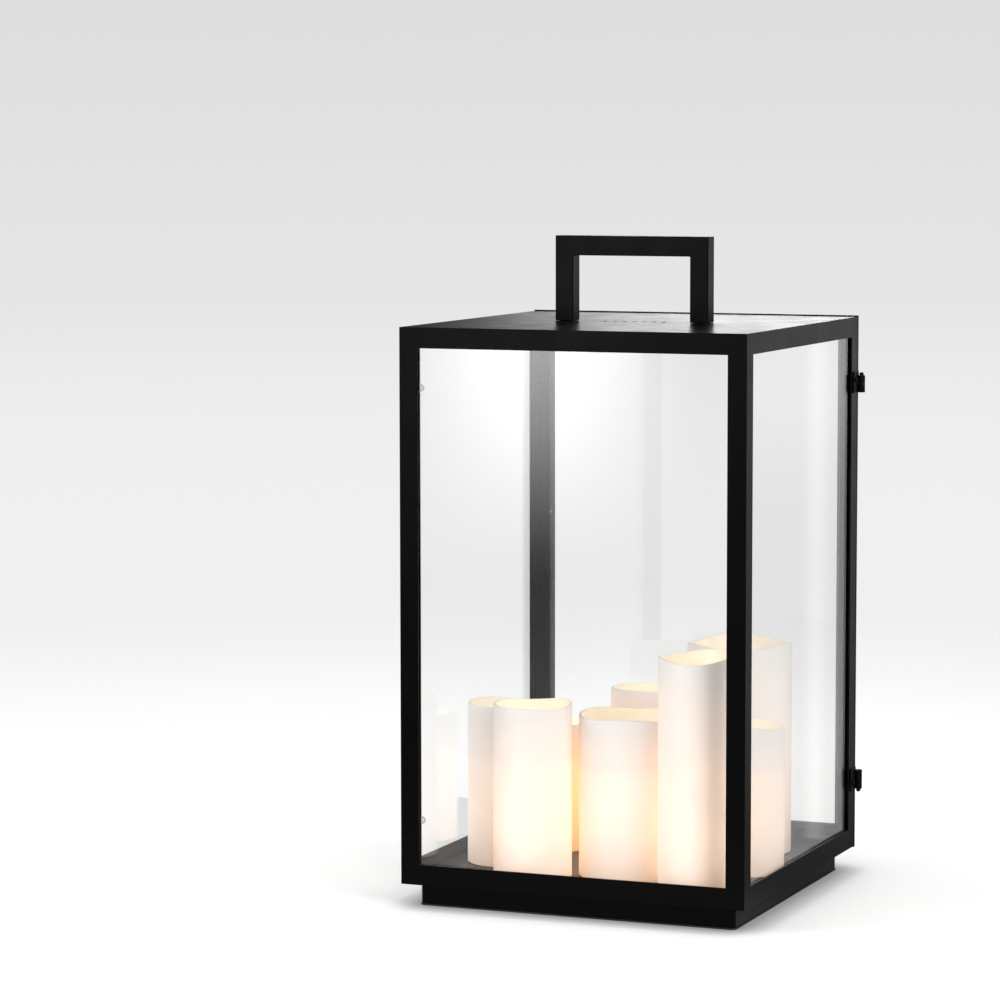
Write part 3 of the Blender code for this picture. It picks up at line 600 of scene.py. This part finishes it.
def metal(name, dark, light, roughness, metallic=1.0, level=0.5):
    """Plated or blackened steel with fine tool marks and an uneven film."""
    nodes = Nodes(name)
    film = nodes.noise(220.0, detail=3.0)
    marks = nodes.noise(2600.0, detail=2.0, stretch=(1, 1, 0.2))
    nodes.link(nodes.mix(nodes.remap(film, 0.0, 1.0), dark, light), nodes.shader.inputs["Base Color"])
    nodes.link(nodes.remap(marks, *roughness), nodes.shader.inputs["Roughness"])
    nodes.set(Metallic=metallic, Specular_IOR_Level=level)
    nodes.bump(((marks, 0.12, 0.00003),))
    return nodes.material


def zinc(name):
    return metal(name, (0.46, 0.47, 0.49), (0.62, 0.61, 0.58), (0.24, 0.40))


def blackened(name):
    return metal(name, (0.0025, 0.0025, 0.0028), (0.0050, 0.0050, 0.0052), (0.34, 0.46), 0.2, 0.12)


def nickel(name):
    return metal(name, (0.60, 0.59, 0.56), (0.72, 0.70, 0.66), (0.18, 0.32))


# --- Frame, plinth and handle ---------------------------------------------------------------


def make_welded_frame():
    """The posts, rails and top plate, welded and ground flush into one shell with its windows."""
    shell = add_object("welded_frame", block(FRAME_LOW, FRAME_HIGH), powder_coat("frame_coat"))
    low_x = FRAME_LOW.x + SHEET
    low_y = FRAME_LOW.y + SHEET
    flange_x = FRAME_LOW.x + FLANGE_DEPTH
    flange_low = FRAME_LOW.z + SHEET
    flange_high = FLANGE_TOP - SHEET
    past = 2 * SHEET
    cuts = [
        block((low_x, low_y, flange_low), (-low_x, -low_y, flange_high)),
        block((flange_x, flange_x, FRAME_LOW.z - past), (-flange_x, -flange_x, flange_low + past)),
        block((flange_x, flange_x, flange_high - past), (-flange_x, -flange_x, FRAME_HIGH.z - SHEET)),
        block((-OPENING_HALF, FRAME_LOW.y - past, WINDOW_LOW), (OPENING_HALF, low_y + past, WINDOW_HIGH)),
        block(
            (-OPENING_HALF, -low_y - past, REAR_WINDOW_LOW),
            (OPENING_HALF, FRAME_HIGH.y + past, REAR_WINDOW_HIGH),
        ),
        block((FRAME_LOW.x - past, -OPENING_HALF, WINDOW_LOW), (low_x + past, OPENING_HALF, WINDOW_HIGH)),
        block((-low_x - past, -OPENING_HALF, WINDOW_LOW), (FRAME_HIGH.x + past, OPENING_HALF, WINDOW_HIGH)),
    ]
    for index in range(VENT_COUNT):
        centre_x = (index - (VENT_COUNT - 1) / 2) * VENT_PITCH
        outline = slot_outline(centre_x, VENT_WIDTH, VENT_LENGTH)
        cuts.append(prism(outline, FRAME_HIGH.z - past, FRAME_HIGH.z + past))
    combine(shell, cuts, "DIFFERENCE")
    round_edges(shell, FRAME_EDGE, 2)
    posts = [f"post_{end}_{side}" for end in ("front", "rear") for side in ("left", "right")]
    sides = ("front", "right", "rear", "left")
    rails = [f"{level}_rail_{side}" for level in ("top", "bottom") for side in sides]
    belongs(shell, "body", "powder_coat", "top_plate", *posts, *rails)


def make_handle():
    low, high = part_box("handle")
    inner = high.x - HANDLE_LEG
    under = high.z - HANDLE_BAR
    outline = [
        (low.x, low.z),
        (-inner, low.z),
        (-inner, under),
        (inner, under),
        (inner, low.z),
        (high.x, low.z),
        (high.x, high.z),
        (low.x, high.z),
    ]
    build = prism(outline, low.y, high.y)
    build.transform(Matrix.Rotation(math.radians(90), 4, "X"))
    handle = add_object("handle_bar", build, powder_coat("handle_coat"))
    round_edges(handle, HANDLE_EDGE)
    belongs(handle, "body", "powder_coat", "handle")


def inverted_tray(name, outer, inner, low, high, sheet, material):
    """A closed top with a skirt: outer and inner outlines have the same number of points."""
    build = bmesh.new()
    rings = []
    for outline, level in ((inner, low), (outer, low), (outer, high), (inner, high - sheet)):
        rings.append([build.verts.new((x, y, level)) for x, y in outline])
    build.faces.new(rings[2])
    build.faces.new(rings[3])
    count = len(outer)
    for first, second in ((0, 1), (1, 2), (3, 0)):
        for index in range(count):
            after = (index + 1) % count
            corners = (rings[first][index], rings[first][after], rings[second][after], rings[second][index])
            build.faces.new(corners)
    return add_object(name, build, material)


def make_base():
    low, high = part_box("plinth")
    plinth = inverted_tray(
        "plinth_box",
        rounded_square(high.x, PLINTH_CORNER),
        rounded_square(high.x - SHEET, PLINTH_CORNER - SHEET),
        low.z,
        high.z,
        SHEET,
        powder_coat("plinth_coat"),
    )
    round_edges(plinth, SMALL_EDGE)
    belongs(plinth, "body", "powder_coat", "plinth")
    low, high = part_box("base_pad")
    outline = rounded_square(high.x, PAD_CORNER)
    pad = add_object("pad_sheet", prism(outline, low.z, high.z), rubber("pad_rubber"))
    round_edges(pad, SMALL_EDGE, 2)
    belongs(pad, "body", "black_pad", "base_pad")


def make_floor_tray():
    low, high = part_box("floor_tray")
    tray = inverted_tray(
        "tray",
        rounded_square(high.x, TRAY_CORNER + SHEET),
        rounded_square(high.x - SHEET, TRAY_CORNER),
        low.z,
        high.z,
        SHEET,
        powder_coat("tray_coat", (0.20, 0.26)),
    )
    round_edges(tray, FRAME_EDGE)
    belongs(tray, "body", "powder_coat", "floor_tray")


# --- Glass and the angles that hold it ------------------------------------------------------


def make_pane(node, body):
    low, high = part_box(node)
    pane = add_object(node + "_pane", block(low, high), glass(node + "_clear"))
    round_edges(pane, GLASS_EDGE, 2)
    belongs(pane, body, "clear_glass", node)


def make_retainer(node, x_side, y_side):
    """A steel angle with its corner towards the post: x_side and y_side are the signs of that corner."""
    low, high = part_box(node)
    corner_x = high.x if x_side > 0 else low.x
    corner_y = high.y if y_side > 0 else low.y
    far_x = low.x if x_side > 0 else high.x
    far_y = low.y if y_side > 0 else high.y
    inner_x = corner_x - x_side * SHEET
    inner_y = corner_y - y_side * SHEET
    outline = [
        (corner_x, corner_y),
        (far_x, corner_y),
        (far_x, inner_y),
        (inner_x, inner_y),
        (inner_x, far_y),
        (corner_x, far_y),
    ]
    if x_side * y_side > 0:
        outline.reverse()
    angle = add_object(node + "_angle", prism(outline, low.z, high.z), powder_coat(node + "_coat"))
    round_edges(angle, SMALL_EDGE, 2)
    belongs(angle, "body", "powder_coat", node)


def make_dab(node):
    """A dab of silicone in the corner between the front pane's inner face and the left angle's edge."""
    low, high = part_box(node)
    middle = (low.z + high.z) / 2
    build = bmesh.new()
    rings = []
    for ring in range(DAB_RINGS):
        rise = ring / DAB_RINGS * math.pi / 2
        loop = []
        for step in range(2 * DAB_RINGS + 1):
            turn = (step / (2 * DAB_RINGS) - 0.5) * math.pi
            x = low.x + (high.x - low.x) * math.cos(rise) * math.cos(turn)
            z = middle + (high.z - low.z) / 2 * math.cos(rise) * math.sin(turn)
            loop.append(build.verts.new((x, low.y + (high.y - low.y) * math.sin(rise), z)))
        rings.append(loop)
    crown = build.verts.new((low.x, high.y, middle))
    for lower, upper in zip(rings, rings[1:]):
        for step in range(2 * DAB_RINGS):
            build.faces.new((lower[step], lower[step + 1], upper[step + 1], upper[step]))
    for step in range(2 * DAB_RINGS):
        build.faces.new((rings[-1][step], rings[-1][step + 1], crown))
    build.faces.new(rings[0])
    build.faces.new([loop[0] for loop in rings] + [crown] + [loop[-1] for loop in reversed(rings)])
    dab = add_object(node + "_bead", build, clear_silicone(node + "_clear"))
    shade_round(dab)
    belongs(dab, "body", "clear_silicone", node)


def make_door_dab():
    """A small clear dome on the inner face of the door's pane."""
    low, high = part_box("silicone_dab_door")
    middle = (low + high) / 2
    radius = (high.x - low.x) / 2
    height = high.y - low.y
    profile = [(radius, 0.0)]
    for step in range(1, DAB_RINGS):
        angle = step / DAB_RINGS * math.pi / 2
        profile.append((radius * math.cos(angle), height * math.sin(angle)))
    profile.append((0.0, height))
    build = place(revolve(profile), (middle.x, high.y, middle.z), (0, -1, 0))
    dab = add_object("silicone_dab_door_bead", build, clear_silicone("silicone_dab_door_clear"))
    shade_round(dab)
    belongs(dab, "door", "clear_silicone", "silicone_dab_door")


def make_glazing():
    for node in ("glass_front", "glass_left", "glass_right"):
        make_pane(node, "body")
    make_pane("door_glass", "door")
    for spot in ("upper", "lower"):
        make_dab(f"silicone_dab_left_{spot}")
    make_door_dab()
    for end, y_side in (("front", -1), ("rear", 1)):
        for side, x_side in (("left", -1), ("right", 1)):
            make_retainer(f"retainer_{end}_{side}", x_side, y_side)


# --- Screws ---------------------------------------------------------------------------------


def pan_head_profile(radius, height, shank_radius, length):
    """From the shank's tip up to the crown, with the underside of the head at z = 0."""
    profile = [(shank_radius, -length), (shank_radius, 0.0), (radius, 0.0), (radius, PAN_SIDE * height)]
    for step in range(1, ARC_STEPS + 1):
        angle = step / ARC_STEPS * PAN_ARC
        swing = math.sin(angle) / math.sin(PAN_ARC)
        drop = (1 - math.cos(angle)) / (1 - math.cos(PAN_ARC))
        profile.append((radius * (1 - PAN_CROWN * drop), height * (PAN_SIDE + (1 - PAN_SIDE) * swing)))
    return profile


def make_screw(node, axis, head_height, body, slot, make_material, recessed=True):
    """A pan-head screw whose shank points along axis, fitted to its node's box."""
    low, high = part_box(node)
    way = Vector(axis)
    middle = (low + high) / 2
    size = high - low
    along = abs(size.dot(way))
    radius = sorted(size)[1] / 2 if along > sorted(size)[1] else max(size) / 2
    crown = middle - way * along / 2
    profile = pan_head_profile(radius, head_height, radius * SHANK_SHARE, along - head_height)
    screw = add_object(node + "_head", revolve(profile), make_material(node + "_metal"))
    if recessed:
        width = RECESS_WIDTH * radius / 2
        reach = RECESS_REACH * radius
        depth = head_height * (1 - RECESS_SINK)
        bars = ((reach, width), (width, reach))
        cuts = [block((-x, -y, depth), (x, y, head_height * 2)) for x, y in bars]
        combine(screw, cuts, "DIFFERENCE")
    shade_round(screw)
    turn = Vector((0, 0, -1)).rotation_difference(way).to_matrix().to_4x4()
    screw.data.transform(Matrix.Translation(crown + way * head_height) @ turn)
    belongs(screw, body, slot, node)


def make_screws():
    for side in ("left", "right"):
        for spot in ("upper", "lower"):
            node = f"clamp_screw_{side}_{spot}"
            make_screw(node, (0, 1, 0), CLAMP_HEAD_HEIGHT, "body", "blackened_steel", blackened)
        node = f"handle_screw_{side}"
        make_screw(node, (0, 0, 1), HANDLE_HEAD_HEIGHT, "body", "zinc_steel", zinc)
    for spot in ("upper", "lower"):
        for body, axis in (("body", (-1, 0, 0)), ("door", (0, -1, 0))):
            node = f"hinge_screw_{body}_{spot}"
            make_screw(node, axis, HINGE_HEAD_HEIGHT, body, "blackened_steel", blackened)
        way = (0, 0, -1) if spot == "upper" else (0, 0, 1)
        make_screw(f"hinge_pin_{spot}", way, PIN_HEAD_HEIGHT, "body", "blackened_steel", blackened, False)


# --- Hinges, knob and magnet ----------------------------------------------------------------


def make_leaf(node, body, knuckle_up, inset_low, inset_high):
    """One hinge leaf: a flat plate, and a rolled knuckle over half of the barrel."""
    low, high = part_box(node)
    on_side = body == "body"
    radius = high.x - HINGE_AXIS.x if on_side else high.y - HINGE_AXIS.y
    barrel_low = low.z + inset_low
    barrel_high = high.z - inset_high
    middle = (barrel_low + barrel_high) / 2
    lower = (barrel_low, middle - LEAF_RELIEF / 2)
    upper = (middle + LEAF_RELIEF / 2, barrel_high)
    half = upper if knuckle_up else lower
    if on_side:
        edge = HINGE_AXIS.y - radius - LEAF_RELIEF
        plate = block((low.x, low.y, low.z), (low.x + LEAF, edge, high.z))
        root = block((low.x, edge - LEAF, half[0]), (low.x + LEAF, HINGE_AXIS.y, half[1]))
    else:
        edge = HINGE_AXIS.x - radius - LEAF_RELIEF
        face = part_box("door_frame")[1].y + LEAF_RELIEF
        plate = block((low.x, face, low.z), (edge, face + LEAF, high.z))
        root = block((edge - LEAF, face, half[0]), (HINGE_AXIS.x, face + LEAF, half[1]))
    seat = (HINGE_AXIS.x, HINGE_AXIS.y, half[0])
    barrel = place(revolve(((radius, 0.0), (radius, half[1] - half[0]))), seat, (0, 0, 1))
    bore_seat = (HINGE_AXIS.x, HINGE_AXIS.y, low.z - LEAF)
    bore_length = high.z - low.z + 2 * LEAF
    bore = place(revolve(((KNUCKLE_BORE, 0.0), (KNUCKLE_BORE, bore_length))), bore_seat, (0, 0, 1))
    leaf = add_object(node + "_leaf", plate, blackened(node + "_metal"))
    combine(leaf, [root, barrel], "UNION")
    combine(leaf, [bore], "DIFFERENCE")
    round_edges(leaf, SMALL_EDGE, 2)
    belongs(leaf, body, "blackened_steel", node)


def make_hinges():
    for spot, (door_up, inset_low, inset_high) in HINGES.items():
        make_leaf(f"hinge_leaf_body_{spot}", "body", not door_up, inset_low, inset_high)
        make_leaf(f"hinge_leaf_door_{spot}", "door", door_up, inset_low, inset_high)
        node = f"hinge_backing_{spot}"
        plate = add_object(node + "_plate", block(*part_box(node)), blackened(node + "_metal"))
        round_edges(plate, SMALL_EDGE, 2)
        belongs(plate, "body", "blackened_steel", node)


def make_door():
    low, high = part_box("door_frame")
    surround = add_object("door_surround", block(low, high), powder_coat("door_coat"))
    window = block(
        (low.x + DOOR_MEMBER, low.y - SHEET, low.z + DOOR_MEMBER),
        (high.x - DOOR_MEMBER, high.y + SHEET, high.z - DOOR_MEMBER),
    )
    combine(surround, [window], "DIFFERENCE")
    round_edges(surround, FRAME_EDGE)
    belongs(surround, "door", "powder_coat", "door_frame")


def make_knob():
    """A small ball knob on a flared foot, turned in one piece."""
    low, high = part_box("knob")
    ball = (high.x - low.x) / 2
    centre = high.y - low.y - ball
    profile = list(KNOB_STEM)
    start = math.asin(KNOB_NECK / ball)
    for step in range(KNOB_STEPS):
        angle = start + (math.pi - start) * step / KNOB_STEPS
        profile.append((ball * math.sin(angle), centre - ball * math.cos(angle)))
    profile.append((0.0, centre + ball))
    middle = (low + high) / 2
    build = place(revolve(profile), (middle.x, low.y, middle.z), (0, 1, 0))
    knob = add_object("door_knob", build, powder_coat("knob_coat", (0.24, 0.34)))
    shade_round(knob)
    belongs(knob, "door", "powder_coat", "knob")


def make_knob_screw():
    """A countersunk screw, seen from inside through the edge of the door pane."""
    low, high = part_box("knob_screw")
    middle = (low + high) / 2
    head = (high.x - low.x) / 2
    shank = head * KNOB_SHANK_SHARE
    length = high.y - low.y
    profile = [(shank, 0.0), (shank, length - KNOB_SCREW_HEAD_HEIGHT), (head, length)]
    screw = add_object("knob_screw_head", revolve(profile), zinc("knob_screw_metal"))
    reach = RECESS_REACH * head
    width = RECESS_WIDTH * head / 2
    depth = length - KNOB_SCREW_HEAD_HEIGHT / 2
    cuts = [block((-x, -y, depth), (x, y, length + SHEET)) for x, y in ((reach, width), (width, reach))]
    combine(screw, cuts, "DIFFERENCE")
    shade_round(screw)
    turn = Vector((0, 0, 1)).rotation_difference(Vector((0, -1, 0))).to_matrix().to_4x4()
    screw.data.transform(Matrix.Translation((middle.x, high.y, middle.z)) @ turn)
    belongs(screw, "door", "zinc_steel", "knob_screw")


def make_magnet():
    low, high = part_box("door_magnet")
    middle = (low + high) / 2
    radius = (high.x - low.x) / 2
    depth = high.y - low.y
    profile = ((radius - SMALL_EDGE, 0), (radius, SMALL_EDGE), (radius, depth - SMALL_EDGE))
    profile += ((radius - SMALL_EDGE, depth),)
    build = place(revolve(profile), (middle.x, low.y, middle.z), (0, 1, 0))
    magnet = add_object("magnet_disc", build, nickel("magnet_plating"))
    shade_round(magnet)
    belongs(magnet, "body", "magnet_nickel", "door_magnet")


# --- Candles --------------------------------------------------------------------------------


def rim_wave(waves, angle):
    """How far the rim stands above its mean height at this angle."""
    return sum(size * math.cos(times * (angle - math.radians(crest))) for times, size, crest in waves)


def swell(angle, height, index):
    """How far the wax stands out here, from -2 to 2. The index sets each candle apart."""
    return sum(math.sin(times * angle + climb * height + shift * index) for times, climb, shift in SWELLS)


def candle_profile(radius, foot, rim):
    """Rings from the foot, up the wall, over the rim and down into the hollow.

    Each is (radius, height, how far it follows the rim's wave, whether it is inside)."""
    rings = [(radius - FOOT_ROUNDING, foot, 0.0, False)]
    for step in range(1, ARC_STEPS + 1):
        angle = step / ARC_STEPS * math.pi / 2
        across = radius - FOOT_ROUNDING + FOOT_ROUNDING * math.sin(angle)
        rings.append((across, foot + FOOT_ROUNDING * (1 - math.cos(angle)), 0.0, False))
    lip = WALL / 2
    low = foot + FOOT_ROUNDING
    high = rim - lip
    for row in range(1, WALL_ROWS + 1):
        share = row / WALL_ROWS
        rings.append((radius, low + (high - low) * share, share**3, False))
    middle = radius - lip
    for step in range(1, 2 * ARC_STEPS):
        angle = step / (2 * ARC_STEPS) * math.pi
        rings.append((middle + lip * math.cos(angle), high + lip * math.sin(angle), 1.0, angle > 2.0))
    floor = rim - RECESS_DEPTH
    inner = radius - WALL
    for row in range(ARC_STEPS):
        share = row / ARC_STEPS
        down = high - (high - floor - RECESS_FILLET) * share
        rings.append((inner - RECESS_TAPER * share, down, (1 - share) ** 1.5, True))
    deep = inner - RECESS_TAPER - RECESS_FILLET
    for step in range(ARC_STEPS + 1):
        angle = step / ARC_STEPS * math.pi / 2
        across = deep + RECESS_FILLET * math.cos(angle)
        rings.append((across, floor + RECESS_FILLET * (1 - math.sin(angle)), 0.0, True))
    return rings, floor


def make_candle(name, index, rim, waves, glow):
    low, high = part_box(name)
    radius = (high.x - low.x) / 2 - UNEVENNESS
    centre = (low + high) / 2
    rings, floor = candle_profile(radius, low.z, rim)
    build = bmesh.new()
    loops = []
    for ring_radius, ring_z, follow, _ in rings:
        loop = []
        for step in range(CANDLE_STEPS):
            angle = math.tau * step / CANDLE_STEPS
            across = ring_radius + UNEVENNESS / 2 * swell(angle, ring_z, index)
            height = ring_z + follow * rim_wave(waves, angle)
            spot = (centre.x + across * math.cos(angle), centre.y + across * math.sin(angle), height)
            loop.append(build.verts.new(spot))
        loops.append(loop)
    build.faces.new(loops[0])
    middle = build.verts.new((centre.x, centre.y, floor - RECESS_TAPER / 2))
    for step in range(CANDLE_STEPS):
        after = (step + 1) % CANDLE_STEPS
        build.faces.new((loops[-1][step], loops[-1][after], middle)).material_index = 1
        for lower, upper, ring in zip(loops, loops[1:], rings[1:]):
            face = build.faces.new((lower[step], lower[after], upper[after], upper[step]))
            face.material_index = int(ring[3])
    outside = wax(name + "_wax", glow, low.z, rim)
    candle = add_object(name + "_pillar", build, outside, wax_inside(name + "_hollow", glow))
    shade_round(candle)
    belongs(candle, "body", "ivory_wax", name)


def make_candles():
    for index, (name, (rim, waves, glow)) in enumerate(CANDLES.items()):
        make_candle(name, index, rim, waves, glow * GLOW)


# --- Stage: floor, light and camera ---------------------------------------------------------


def make_floor():
    """A round pale floor with a little light of its own and a painted shadow near anything that stands on
    it, whose far part fades into the backdrop's tone.

    Reflections see it with a brightness of their own."""
    build = bmesh.new()
    bmesh.ops.create_circle(build, cap_ends=True, radius=FLOOR_RADIUS, segments=96)
    nodes = Nodes("pale_floor")
    tree = nodes.tree
    grain = nodes.noise(3.0, detail=3.0)
    nodes.link(nodes.remap(grain, 0.72, 0.80), nodes.shader.inputs["Roughness"])
    nodes.set(Specular_IOR_Level=0.1)
    nodes.bump(((nodes.noise(260.0), 0.05, 0.0002),))
    # Painted contact shadow: ambient occlusion darkens the floor's base colour towards near black where
    # something stands close by.
    contact = nodes.add("ShaderNodeAmbientOcclusion")
    contact.inputs["Distance"].default_value = CONTACT_REACH
    contact.samples = CONTACT_SAMPLES
    open_share = nodes.math("POWER", contact.outputs["AO"], CONTACT_POWER)
    tone = nodes.mix(nodes.remap(grain, 0.0, 1.0), (0.86, 0.86, 0.86), (0.88, 0.88, 0.88))
    nodes.link(nodes.mix(open_share, (0.06, 0.06, 0.06), tone), nodes.shader.inputs["Base Color"])
    nodes.shader.inputs["Emission Color"].default_value = (1.0, 1.0, 1.0, 1.0)
    lift = nodes.remap(grain, 0.98 * FLOOR_LIFT, FLOOR_LIFT)
    nodes.link(lift, nodes.shader.inputs["Emission Strength"])
    length = nodes.add("ShaderNodeVectorMath", operation="LENGTH")
    nodes.link(nodes.place, length.inputs[0])
    distance = length.outputs["Value"]
    far = lit(tree, ramp(tree, distance, BACKDROP[0], BACKDROP[1], *BACKDROP_FADE))
    seen = blend(tree, ramp(tree, distance, 0.0, 1.0, *FLOOR_FADE), nodes.shader.outputs["BSDF"], far)
    split = nodes.add("ShaderNodeSeparateXYZ")
    nodes.link(nodes.place, split.inputs[0])
    front = lit(tree, ramp(tree, distance, *MIRRORED_FRONT))
    rear_steps = [ramp(tree, distance, *step) for step in MIRRORED_REAR]
    rear = lit(tree, nodes.math("ADD", *rear_steps))
    mirrored = blend(tree, ramp(tree, split.outputs["Y"], 0.0, 1.0, *MIRRORED_SPLIT), front, rear)
    path = nodes.add("ShaderNodeLightPath")
    reflected = nodes.math("SUBTRACT", path.outputs["Is Glossy Ray"], path.outputs["Is Transmission Ray"])
    nodes.link(blend(tree, reflected, seen, mirrored), nodes.output.inputs["Surface"])
    floor = add_object("floor", build, nodes.material)


def aim(obj, target):
    obj.rotation_mode = "QUATERNION"
    obj.rotation_quaternion = (Vector(target) - obj.location).to_track_quat("-Z", "Y")


def add_softbox(name, spot, target, side, power):
    light = bpy.data.lights.new(name, "AREA")
    light.shape = "SQUARE"
    light.size = side
    light.energy = power
    obj = bpy.data.objects.new(name, light)
    bpy.context.scene.collection.objects.link(obj)
    obj.location = spot
    aim(obj, target)
    obj.visible_camera = False
    obj.visible_transmission = False


def add_card(name, y, x_range, z_range, strength, fades):
    """A lit card that stands across the y axis, where only reflections see it."""
    build = bmesh.new()
    left, right = x_range
    bottom, top = z_range
    corners = ((left, bottom), (right, bottom), (right, top), (left, top))
    build.faces.new([build.verts.new((x, y, z)) for x, z in corners])
    material = bpy.data.materials.new(name)
    material.use_nodes = True
    tree = material.node_tree
    tree.nodes.clear()
    place_node = tree.nodes.new("ShaderNodeTexCoord")
    split = tree.nodes.new("ShaderNodeSeparateXYZ")
    tree.links.new(place_node.outputs["Object"], split.inputs[0])
    level = strength
    for axis, dark, bright in fades:
        share = ramp(tree, split.outputs[axis], 0.0, 1.0, dark, bright)
        level = combine_values(tree, "MULTIPLY", level, share)
    clear = tree.nodes.new("ShaderNodeBsdfTransparent")
    added = tree.nodes.new("ShaderNodeAddShader")
    tree.links.new(lit(tree, level), added.inputs[0])
    tree.links.new(clear.outputs[0], added.inputs[1])
    output = tree.nodes.new("ShaderNodeOutputMaterial")
    tree.links.new(added.outputs[0], output.inputs["Surface"])
    card = add_object(name, build, material)
    card.visible_camera = False
    card.visible_transmission = False
    card.visible_diffuse = False
    card.visible_shadow = False


def make_lights():
    for softbox in SOFTBOXES:
        add_softbox(*softbox)
    for card in CARDS:
        add_card(*card)


def make_world():
    """Pale behind the object for the eye; in reflections bright at the rear right and dim elsewhere."""
    world = bpy.data.worlds.new("studio")
    bpy.context.scene.world = world
    world.use_nodes = True
    tree = world.node_tree
    tree.nodes.clear()
    way = tree.nodes.new("ShaderNodeTexCoord")
    split = tree.nodes.new("ShaderNodeSeparateXYZ")
    tree.links.new(way.outputs["Generated"], split.inputs[0])
    rearward = ramp(tree, split.outputs["Y"], 0.0, 1.0, *REARWARD)
    rightward = ramp(tree, split.outputs["X"], LEFT_SHARE, 1.0, *RIGHTWARD)
    mirrored = combine_values(tree, "MULTIPLY", rearward, rightward)
    mirrored = combine_values(tree, "MULTIPLY", mirrored, MIRRORED_BRIGHT)
    mirrored = combine_values(tree, "ADD", mirrored, MIRRORED_DIM)
    path = tree.nodes.new("ShaderNodeLightPath")
    camera_ray = path.outputs["Is Camera Ray"]
    seen = combine_values(tree, "MAXIMUM", camera_ray, path.outputs["Is Transmission Ray"])
    backdrop = ramp(tree, split.outputs["Z"], BACKDROP[1], BACKDROP[2], *BACKDROP_RISE)
    grounds = []
    for strength in (WORLD_LIGHT, mirrored, backdrop):
        node = tree.nodes.new("ShaderNodeBackground")
        node.inputs["Color"].default_value = (1.0, 1.0, 1.0, 1.0)
        if isinstance(strength, float):
            node.inputs["Strength"].default_value = strength
        else:
            tree.links.new(strength, node.inputs["Strength"])
        grounds.append(node.outputs[0])
    unseen = blend(tree, path.outputs["Is Glossy Ray"], grounds[0], grounds[1])
    output = tree.nodes.new("ShaderNodeOutputWorld")
    tree.links.new(blend(tree, seen, unseen, grounds[2]), output.inputs["Surface"])


def make_camera():
    data = bpy.data.cameras.new("camera")
    data.lens = CAMERA_LENS
    data.sensor_width = 36.0
    data.clip_start = 0.1
    data.clip_end = 60.0
    camera = bpy.data.objects.new("camera", data)
    bpy.context.scene.collection.objects.link(camera)
    right = Vector((math.cos(CAMERA_YAW), math.sin(CAMERA_YAW), 0.0))
    flat = math.cos(CAMERA_PITCH)
    forward = Vector((-math.sin(CAMERA_YAW) * flat, math.cos(CAMERA_YAW) * flat, -math.sin(CAMERA_PITCH)))
    up = right.cross(forward)
    tilted_right = right * math.cos(CAMERA_ROLL) + up * math.sin(CAMERA_ROLL)
    tilted_up = up * math.cos(CAMERA_ROLL) - right * math.sin(CAMERA_ROLL)
    turn = Matrix((tilted_right, tilted_up, -forward)).transposed().to_4x4()
    camera.matrix_world = Matrix.Translation(CAMERA_PLACE) @ turn
    bpy.context.scene.camera = camera


def main():
    bpy.context.scene.view_settings.view_transform = "Standard"
    make_camera()
    make_welded_frame()
    make_handle()
    make_base()
    make_floor_tray()
    make_glazing()
    make_screws()
    make_hinges()
    make_door()
    make_knob()
    make_knob_screw()
    make_magnet()
    make_candles()
    make_floor()
    make_lights()
    make_world()


main()
